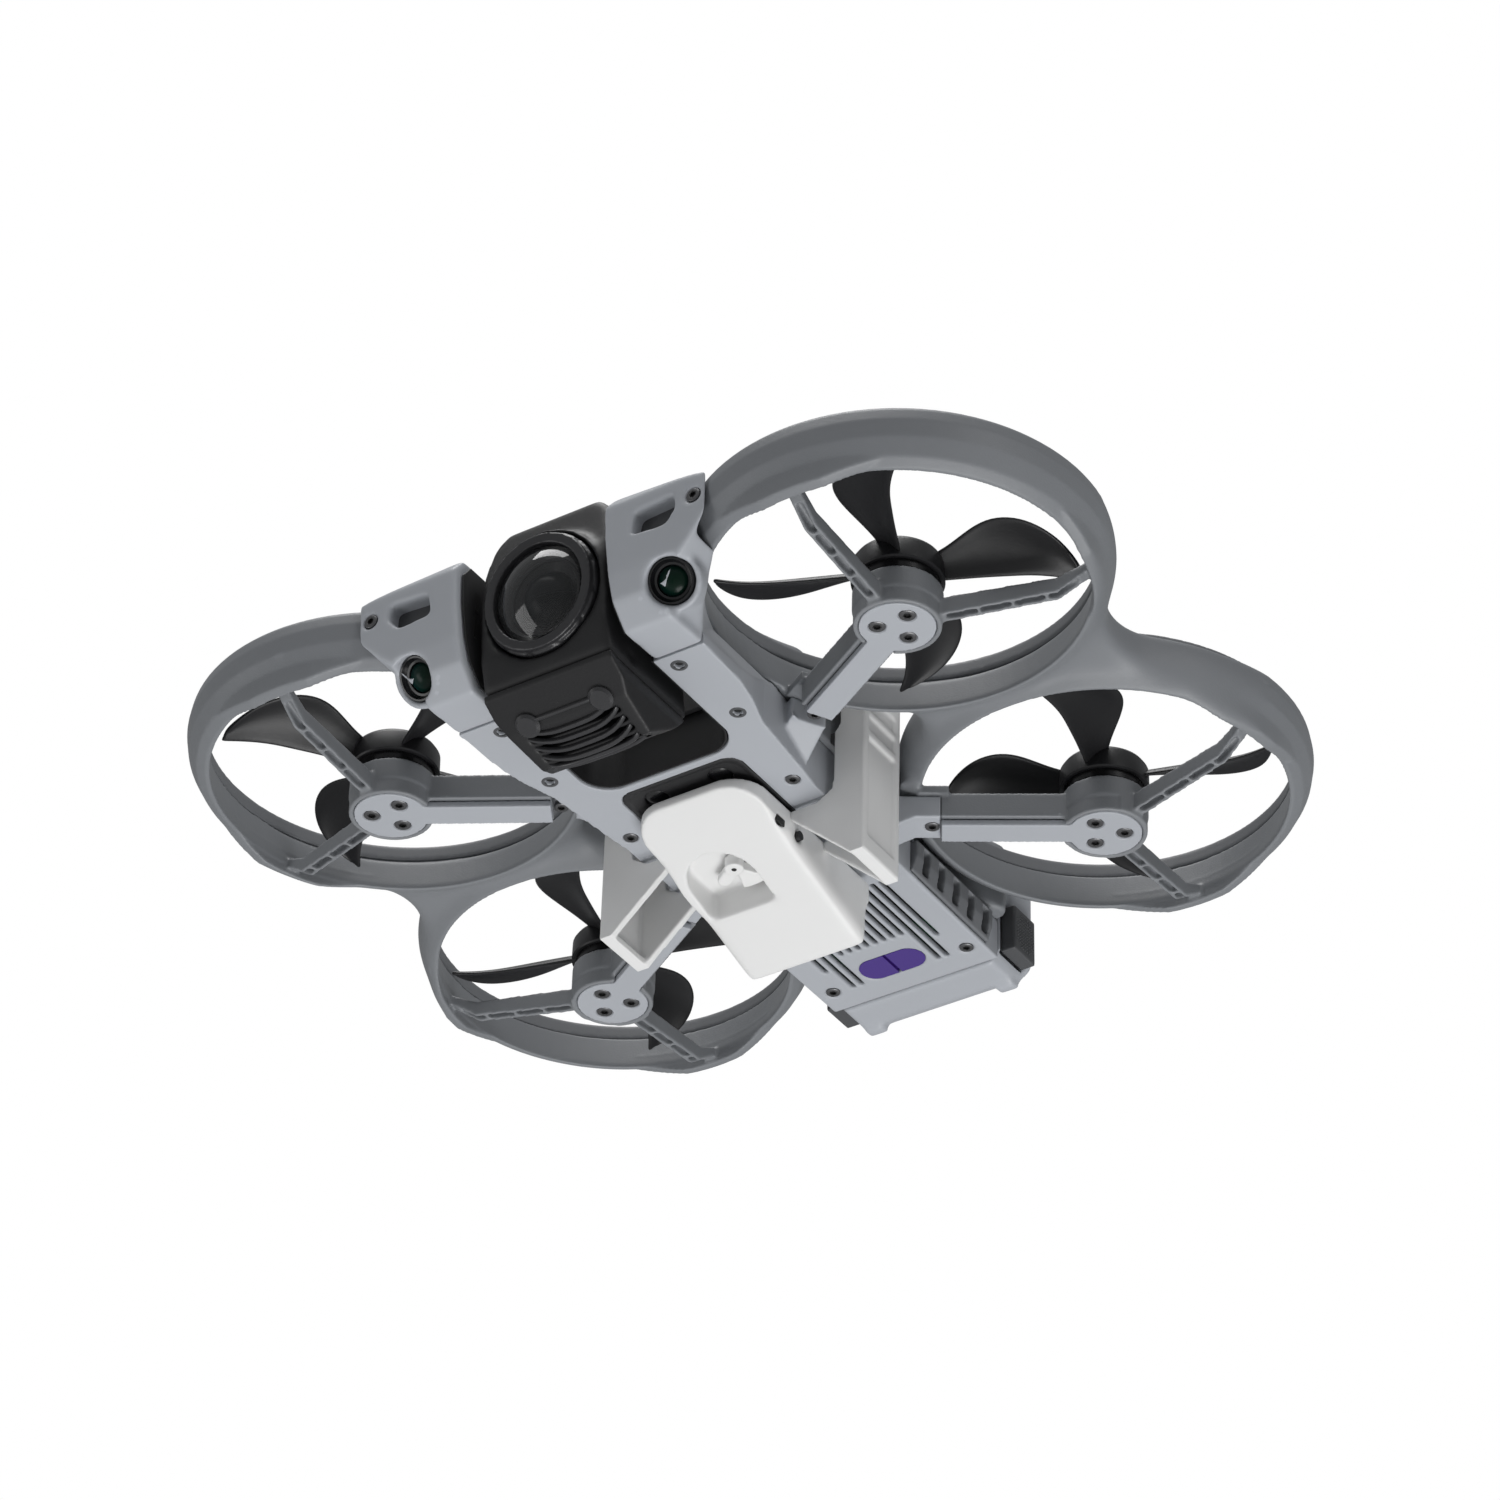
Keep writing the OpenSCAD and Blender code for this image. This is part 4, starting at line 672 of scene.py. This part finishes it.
def make_blade():
    """One cambered, twisted blade along +X with its leading edge towards +Y."""
    clear_selection()
    first, second = BLADE_SECTIONS[0], BLADE_SECTIONS[1]
    bpy.ops.mesh.primitive_grid_add(x_subdivisions=1, y_subdivisions=4, size=1)
    blade = bpy.context.object
    bpy.ops.object.mode_set(mode="EDIT")
    bpy.ops.mesh.select_all(action="DESELECT")
    mesh = bmesh.from_edit_mesh(blade.data)
    for vertex in mesh.verts:
        radius, lead, trail, _ = first if vertex.co.x < 0 else second
        across = vertex.co.y + 0.5
        camber = 0.10 * (lead - trail) * (1 - (2 * across - 1) ** 2)
        vertex.co = Vector((radius, trail + (lead - trail) * across, camber)) * MM
        vertex.select = radius == second[0]
    mesh.select_flush(True)
    bmesh.update_edit_mesh(blade.data)
    previous = second
    for section in BLADE_SECTIONS[2:]:
        bpy.ops.mesh.extrude_edges_move(
            TRANSFORM_OT_translate={"value": ((section[0] - previous[0]) * MM, 0, 0)})
        share = (section[1] - section[2]) / (previous[1] - previous[2])
        middle = (previous[1] + previous[2]) / 2
        bpy.ops.transform.resize(value=(1, share, share),
                                 center_override=(section[0] * MM, middle * MM, 0))
        shift = (section[1] + section[2]) / 2 - middle
        bpy.ops.transform.translate(value=(0, shift * MM, 0))
        previous = section
    mesh = bmesh.from_edit_mesh(blade.data)
    for radius, _, _, pitch in BLADE_SECTIONS:
        turn = Matrix.Rotation(math.radians(pitch), 3, "X")
        for vertex in mesh.verts:
            if abs(vertex.co.x - radius * MM) < 1e-6:
                vertex.co = turn @ vertex.co
    bmesh.update_edit_mesh(blade.data)
    bpy.ops.object.mode_set(mode="OBJECT")
    wall = blade.modifiers.new("wall", "SOLIDIFY")
    wall.thickness = 1.1 * MM
    wall.offset = 0
    round_off = blade.modifiers.new("round_off", "SUBSURF")
    round_off.levels = 2
    round_off.render_levels = 2
    apply_all(blade)
    bpy.ops.object.mode_set(mode="EDIT")
    bpy.ops.mesh.select_all(action="SELECT")
    bpy.ops.mesh.normals_make_consistent(inside=False)
    bpy.ops.object.mode_set(mode="OBJECT")
    bpy.ops.object.shade_smooth()
    return blade


def make_propellers():
    blade = make_blade()
    hub = turned("hub", [(2.2, 7.2), (8.6, 7.0), (10.2, 6.3), (10.9, 5.2), (11.0, 0.4), (10.7, 0.0),
                         (9.9, 0.0), (9.8, 3.8), (2.4, 3.8)], ring=True)
    for corner, center in MOTORS.items():
        node = "propeller_" + corner
        low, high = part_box(node)
        turn, phase = PROP_HANDS[corner]
        base = Vector((center.x, center.y, low.z))
        parts = [duplicate(hub, Matrix.Translation(base))]
        for quarter in range(4):
            place = Matrix.Rotation(math.radians(phase + 90 * quarter), 4, "Z")
            if turn > 0:
                place = place @ Matrix.Scale(-1, 4, (0, 1, 0))
            parts.append(duplicate(blade, Matrix.Translation(base + Vector((0, 0, 3.6 * MM))) @ place))
        finish_piece(join("blades_" + corner, parts), node, prop_charcoal, node)
    discard(blade)
    discard(hub)


make_propellers()


# ---- Camera lenses ----

# Radii of curvature of the glass, in millimetres
DOME_R = 17.5
ELEMENT_R = 7.4
FISHEYE_R = 5.0


def cap(radius, drop, angles):
    """Profile of a spherical cap whose centre lies below zero by drop."""
    return [(radius * math.sin(math.radians(a)), radius * math.cos(math.radians(a)) - drop) for a in angles]


def lens_frames():
    """Places on the front and rear lens planes, +Z outwards."""
    frames = {}
    lean = math.radians(9.5)
    for name, direction in (("front", -1), ("rear", 1)):
        low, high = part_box("lens_ring_" + name)
        normal = Vector((0, direction * math.cos(lean), -math.sin(lean)))
        frames[name] = place_on((low + high) / 2, normal)
    return frames


def make_lenses():
    for name, place in lens_frames().items():
        # One thin sheet: a spherical cap that ends in a short skirt
        glass = turned("glass", [(0.2, 6.15)] + cap(DOME_R, 11.35, range(4, 45, 4))
                       + [(12.25, 0.4), (12.25, -0.6)], sides=96, open_end=True)
        finish_piece(duplicate(glass, place), "camera", dome_glass, "lens_dome_" + name).name = "dome_" + name
        discard(glass)
        seat = turned("seat", [(12.3, 0.2), (11.4, -0.2), (9.7, -1.2), (9.5, -0.9), (9.1, -0.9), (9.0, -1.6),
                               (6.9, -2.2), (6.9, -4.6), (12.3, -4.6)], sides=96, ring=True)
        finish_piece(duplicate(seat, place), "camera", black_gloss).name = "lens_seat_" + name
        discard(seat)
        ring = turned("trim", [(9.75, -1.0), (9.6, -0.75), (9.15, -0.75), (9.0, -1.0)], sides=96, ring=True)
        finish_piece(duplicate(ring, place), "camera", ring_charcoal).name = "lens_trim_" + name
        discard(ring)
        element = turned("element", [(0.1, 2.4)] + cap(ELEMENT_R, 5.0, range(8, 66, 8))
                         + [(6.85, -2.6), (6.85, -4.4)], sides=64)
        cores = ["lens_cores"] if name == "front" else []
        finish_piece(duplicate(element, place), "camera", element_glass, *cores).name = "lens_element_" + name
        discard(element)


def make_fisheyes():
    tip, splay = math.radians(127), math.radians(12)
    barrels = islands("fisheye_barrels")
    barrel = turned("barrel", [(5.6, -4.5), (5.6, 4.0), (5.35, 4.5), (4.95, 4.5), (4.75, 4.0), (4.3, 3.2),
                               (3.75, 3.1), (3.6, 2.7), (3.6, -4.5)], ring=True)
    lens = turned("lens", [(0.1, 4.2)] + cap(FISHEYE_R, 0.8, range(6, 46, 6))
                  + [(3.55, 2.4), (3.55, 0.5)], sides=48)
    bodies, glasses = [], []
    for low, high in barrels:
        center = (low + high) / 2
        slant = splay * (1 if center.x > 0 else -1)
        turn = Matrix.Rotation(tip, 4, "X") @ Matrix.Rotation(slant, 4, "Y")
        place = Matrix.Translation(center) @ turn
        bodies.append(duplicate(barrel, place))
        glasses.append(duplicate(lens, place))
    finish_piece(join("fisheye_bodies", bodies), "airframe", black_gloss, "fisheye_barrels")
    finish_piece(join("fisheye_glasses", glasses), "airframe", fisheye_glass, "fisheye_lenses")
    discard(barrel)
    discard(lens)


make_lenses()
make_fisheyes()


# ---- Screws ----

def make_screw_head(radius):
    """Pan head with a six-lobed socket, drawn facing -Z with its rim at zero."""
    head = turned("head", [(radius * 0.46, 0.62), (radius * 0.46, 0.05), (radius * 0.55, 0.0),
                           (radius * 0.88, 0.0), (radius * 0.98, 0.12), (radius, 0.3), (radius, 1.0),
                           (radius * 0.4, 1.0), (radius * 0.4, 3.4)], sides=24)
    only(head)
    bpy.ops.object.mode_set(mode="EDIT")
    mesh = bmesh.from_edit_mesh(head.data)
    inner = radius * 0.5 * MM
    for vertex in mesh.verts:
        reach = math.hypot(vertex.co.x, vertex.co.y)
        angle = math.degrees(math.atan2(vertex.co.y, vertex.co.x))
        lobe = round(angle / 15) % 4
        if reach < inner and vertex.co.z < 0.7 * MM and lobe == 2:
            vertex.co.x *= 0.72
            vertex.co.y *= 0.72
    bmesh.update_edit_mesh(head.data)
    bpy.ops.object.mode_set(mode="OBJECT")
    # The socket's faces take near-black: painted shade in the recess.
    for material in (screw_steel, hole_shade_black):
        head.data.materials.append(material)
    for face in head.data.polygons:
        spot = face.center
        face.material_index = 1 if math.hypot(spot.x, spot.y) < inner and spot.z < 0.8 * MM else 0
    return head


GUARD_SCREW_OUT = 1.3 * MM


def make_screws():
    for node, radius, name in (("hub_screws", 2.0, "hub_screw_heads"),
                               ("body_screws", 1.8, "body_screw_heads")):
        head = make_screw_head(radius)
        copies = []
        for low, high in islands(node):
            size = high - low
            middle = (low + high) / 2
            if size.y > size.z:
                # The guards' screws face forwards and stand on the moulded skin
                out = GUARD_SCREW_OUT if low.y < FORK_Y * MM else 0
                spot = Vector((middle.x, low.y - out, middle.z))
                place = Matrix.Translation(spot) @ Matrix.Rotation(math.radians(-90), 4, "X")
            else:
                place = Matrix.Translation((middle.x, middle.y, low.z))
            # No two heads stop at the same angle
            spin = Matrix.Rotation(middle.x * 900 + middle.y * 700, 4, "Z")
            copies.append(duplicate(head, place @ spin))
        discard(head)
        finish_piece(join(name, copies), "airframe", None, node)


make_screws()


# ---- Small details ----

def make_bay_skirt():
    """Dark wall that lines the camera's bay, round both of its corners."""
    inset, corner, height, wall = 0.25, 8.0, 13.6, 0.35
    half = CAVITY_HALF - inset
    points = [(-half, FORK_Y)]
    for quarter in range(0, 91, 10):
        turn = math.radians(quarter)
        points.append((-half + corner * (1 - math.cos(turn)),
                       BAY_BACK_Y - inset - corner * (1 - math.sin(turn))))
    points += [(-x, y) for x, y in reversed(points)]
    inner = [(x * (half - wall) / half, y - wall * ramp(y, BAY_BACK_Y - 12, BAY_BACK_Y))
             for x, y in reversed(points)]
    skirt = plate("bay_skirt", points + inner, height)
    skirt.data.transform(Matrix.Translation((0, 0, (BELLY_Z + 0.5) * MM)))
    finish_piece(skirt, "airframe", gimbal_charcoal)


def make_pod_cheeks():
    """Dark plates on the pods' inner faces, each with two long slots below a rim; the slots are black inlays
    of painted shade.
    """
    base = HUB_Z / MM
    outline = [(FORK_Y - 1, base - 3.6), (NOSE_Y + 12, base - 4.2), (NOSE_Y + 7.2, base + 0.6),
               (NOSE_Y + 4.8, base + 6.4), (NOSE_Y + 3.0, base + 15), (NOSE_Y + 2.4, base + 23),
               (NOSE_Y + 5, base + 26.6), (FORK_Y - 9, base + 26.6), (FORK_Y - 1, base + 24.6)]
    slot = [(0, 0), (1.5, 0), (1.5, 5.2), (0, 5.2)]
    thickness = 0.45
    for sign, side in ((-1, "left"), (1, "right")):
        cheek = plate("pod_cheek_" + side, outline, thickness, 0.12)
        x = -CAVITY_HALF if sign < 0 else CAVITY_HALF - thickness
        cheek.data.transform(Matrix.Translation((x * MM, 0, 0)) @ STAND)
        finish_piece(cheek, "airframe", gimbal_charcoal)
        for i in range(2):
            # Each slot is a black inlay: painted shade of the opening.
            slot_shade = plate("cheek_slot_shade_" + side + str(i), slot, 0.5)
            place = (sign * (CAVITY_HALF - 0.08) - (0.0 if sign < 0 else thickness),
                     NOSE_Y + 7.5, base + 8.2 + i * 7.4)
            slot_shade.data.transform(Matrix.Translation(Vector(place) * MM) @ STAND)
            finish_piece(slot_shade, "airframe", hole_shade_black)


def make_intake_plates():
    """Dark plate inside each pod's air intake: painted shade in its opening."""
    base = HUB_Z / MM
    outline = [(28.2, base + 14.2), (29.0, base + 20.2), (40.2, base + 20.8), (40.5, base + 16.4),
               (37.6, base + 13.4)]
    for sign, side in ((-1, "left"), (1, "right")):
        points = [(sign * x, z) for x, z in outline]
        intake_shade = plate("intake_shade_plate_" + side, points, 0.8, 0.2)
        stand = Matrix.Rotation(math.radians(90), 4, "X")
        back = Matrix.Translation((0, (NOSE_Y + 5.4) * MM, 0))
        intake_shade.data.transform(back @ stand)
        # The plate's dark finish is painted shade inside the intake.
        finish_piece(intake_shade, "airframe", shell_dark)


def make_shaded_hole_rings():
    """Stepped rings in the fork's four accessory holes, dark as painted shade, over black bottoms of painted
    shade.
    """
    bush = turned("bush", [(1.15, 0.3), (1.3, -0.12), (1.9, -0.12), (2.05, 0.0), (2.05, 0.6), (1.15, 0.6)],
                  sides=32, ring=True)
    core = turned("core", [(0.1, 0.9), (1.14, 0.9), (1.14, 1.2), (0.1, 1.2)], sides=24)
    bushes, cores = [], []
    for sign in (-1, 1):
        for x, y in ((25.0, FORK_Y + 4.1), (26.7, FORK_Y + 26.3)):
            place = Matrix.Translation(Vector((sign * x, y, BELLY_Z)) * MM)
            bushes.append(duplicate(bush, place))
            cores.append(duplicate(core, place))
    # Painted shade: the rings take a dark finish and the bottoms near-black, where the holes fall in shadow.
    finish_piece(join("accessory_rings_painted_shade", bushes), "airframe", shell_dark)
    finish_piece(join("accessory_hole_shade_bottoms", cores), "airframe", hole_shade_black)
    discard(bush)
    discard(core)


def make_chin_ribs():
    """Bowed louvre ribs under the chin, with a frame bar and two bosses ahead of them."""
    profile = [(-10.5, -10.6), (-2, -15.8), (10, -18.4), (16.6, -14.2), (21, -8.8)]
    base = HUB_Z / MM
    count, pitch, half, bow, steps = 6, 2.9, 12.4, 3.0, 8

    def under(y):
        """Height of the chin's underside at a station behind the pivot."""
        for (y0, z0), (y1, z1) in zip(profile, profile[1:]):
            if y <= y1:
                return z0 + (z1 - z0) * (y - y0) / (y1 - y0)
        return profile[-1][1]

    ribs = []
    for i in range(count):
        points = []
        for step in range(-steps, steps + 1):
            share = step / steps
            y = 0.5 + i * pitch - bow * abs(share) ** 3
            lift = 0.5 * abs(share) ** 4
            points.append((half * share, PIVOT.y + y, base + under(y) + lift))
        ribs.append(swept("rib", points, 1.25, 1.2))
    bar_y, boss_y = -3.9, -3.2
    bar = [(-8 + i * 4.0, PIVOT.y + bar_y, base + under(bar_y)) for i in range(5)]
    ribs.append(swept("bar", bar, 1.0, 1.1))
    boss = turned("boss", [(0.1, -0.9), (2.4, -0.9), (3.1, -0.3), (3.2, 1.6)], sides=32)
    for sign in (-1, 1):
        spot = Vector((sign * 10.2, PIVOT.y + boss_y, base + under(boss_y))) * MM
        ribs.append(duplicate(boss, Matrix.Translation(spot) @ Matrix.Rotation(math.radians(-28), 4, "X")))
    discard(boss)
    finish_piece(join("chin_ribs", ribs), "camera", ring_charcoal)


def make_latch_dots():
    """Raised dots that give the latch buttons their grip."""
    column_pitch, row_pitch, sunk = 0.9, 0.95, 0.05
    for side in ("left", "right"):
        sign = -1 if side == "left" else 1
        low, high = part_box("latch_" + side)
        face = low.x if sign < 0 else high.x
        clear_selection()
        bpy.ops.mesh.primitive_uv_sphere_add(segments=8, ring_count=5, radius=0.32 * MM)
        dot = bpy.context.object
        dots = []
        middle = (low + high) / 2
        for row in range(-5, 6):
            for column in range(-4, 5):
                if abs(column) + abs(row) > 7:
                    continue
                spot = Vector((face - sign * sunk * MM, middle.y + column * column_pitch * MM,
                               middle.z + row * row_pitch * MM))
                dots.append(duplicate(dot, Matrix.Translation(spot)))
        discard(dot)
        finish_piece(join("latch_dots_" + side, dots), "latch_" + side, shell_dark)


def make_launcher_details():
    """Charging port in the launcher's side, a black plate for its dark insides and painted shade, and the pin
    hole of its lever, a black cup of painted shade.
    """
    low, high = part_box("launcher_shell")
    # The port is near-black: its own dark insides, with painted shade in its opening.
    port = plate("launcher_port", [(-1.7, -0.85), (1.7, -0.85), (1.7, 0.85), (-1.7, 0.85)], 0.5)
    spot = Vector((high.x - 0.45 * MM, low.y + 15.4 * MM, high.z - 5.35 * MM))
    port.data.transform(Matrix.Translation(spot) @ STAND)
    finish_piece(port, "airframe", hole_shade_black)
    lever_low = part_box("release_lever")[0]
    # The pin hole is a solid near-black cup: painted shade in the hole.
    hole = turned("lever_pin_hole_shade", [(0.1, -0.05), (0.62, -0.05), (0.7, 0.1), (0.7, 0.5)], sides=32)
    hole.data.transform(Matrix.Translation(Vector((LEVER_PIN[0] * MM, LEVER_PIN[1] * MM, lever_low.z))))
    finish_piece(hole, "release_lever", hole_shade_black)


make_launcher_details()
make_bay_skirt()
make_pod_cheeks()
make_intake_plates()
make_shaded_hole_rings()
make_chin_ribs()
make_latch_dots()


# ---- Finishes of the CAD pieces that stay ----

KEPT = {
    "motor_bearings": bearing_steel, "camera_pivots": bearing_steel, "tilt_motor": black_matte,
    "bay_liner": black_matte, "sensor_lenses": black_gloss, "ranging_windows": violet_window,
    "heat_sink": heat_black, "main_board": board_green, "fan_housing": black_matte,
    "fan_rotor": shell_dark, "battery_cells": cell_wrap, "power_button": shell_dark,
    "launcher_lid": launcher_white, "launcher_servo": black_matte, "grip_pads": rubber_black,
    "launcher_button": black_matte,
}
for corner in MOTORS:
    KEPT["stator_" + corner] = copper_wire
    KEPT["rotor_" + corner] = bell_black
for node, material in KEPT.items():
    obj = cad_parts[node]
    obj.data.materials.clear()
    obj.data.materials.append(material)


# ---- Studio ----

FLOOR_SIZE = 90
FLOOR_Z = -1.5
# How brightly the floor glows where it is seen, and how strong the light from all round is
FLOOR_GLOW = 0.62
AMBIENT = 0.31
# Name, place, width and height, and power of each soft box
LIGHTS = [
    ("key", (-1.2, -1.1, -0.5), (0.7, 1.1), 4.5),
    ("under", (0.35, 0.1, -1.4), (0.9, 0.9), 15.5),
    ("side", (1.6, -0.5, 0.5), (0.5, 1.2), 4.5),
    ("top", (-0.1, -0.3, 1.8), (1.2, 1.2), 22),
]


def make_studio():
    clear_selection()
    bpy.ops.mesh.primitive_plane_add(size=FLOOR_SIZE, location=(0, 0, FLOOR_Z))
    floor = bpy.context.object
    floor.name = "floor"
    bpy.ops.object.transform_apply(location=True)
    pale = moulded_material("floor_pale", (0.86, 0.86, 0.86), 0.6, grain=0.02, drift=0.02)
    floor.data.materials.append(pale)
    tree = pale.node_tree
    rays = tree.nodes.new("ShaderNodeLightPath")
    glow = math_node(tree, "MULTIPLY", rays.outputs["Is Camera Ray"], FLOOR_GLOW)
    tree.links.new(glow, tree.nodes["Principled BSDF"].inputs["Emission Strength"])
    world = bpy.data.worlds.new("studio")
    bpy.context.scene.world = world
    world.use_nodes = True
    tree = world.node_tree
    tree.nodes.clear()
    ambient = tree.nodes.new("ShaderNodeBackground")
    ambient.inputs["Color"].default_value = (0.97, 0.985, 1.0, 1)
    ambient.inputs["Strength"].default_value = AMBIENT
    backdrop = tree.nodes.new("ShaderNodeBackground")
    backdrop.inputs["Color"].default_value = (1, 1, 1, 1)
    backdrop.inputs["Strength"].default_value = 1.0
    path = tree.nodes.new("ShaderNodeLightPath")
    mix = tree.nodes.new("ShaderNodeMixShader")
    output = tree.nodes.new("ShaderNodeOutputWorld")
    tree.links.new(path.outputs["Is Camera Ray"], mix.inputs["Fac"])
    tree.links.new(ambient.outputs["Background"], mix.inputs[1])
    tree.links.new(backdrop.outputs["Background"], mix.inputs[2])
    tree.links.new(mix.outputs["Shader"], output.inputs["Surface"])
    for name, place, size, power in LIGHTS:
        data = bpy.data.lights.new(name, "AREA")
        data.shape = "RECTANGLE"
        data.size, data.size_y = size
        data.energy = power
        light = bpy.data.objects.new(name, data)
        light.matrix_world = place_on(Vector(place), Vector(place))
        bpy.context.scene.collection.objects.link(light)
    bpy.context.scene.view_settings.view_transform = "Standard"


make_studio()
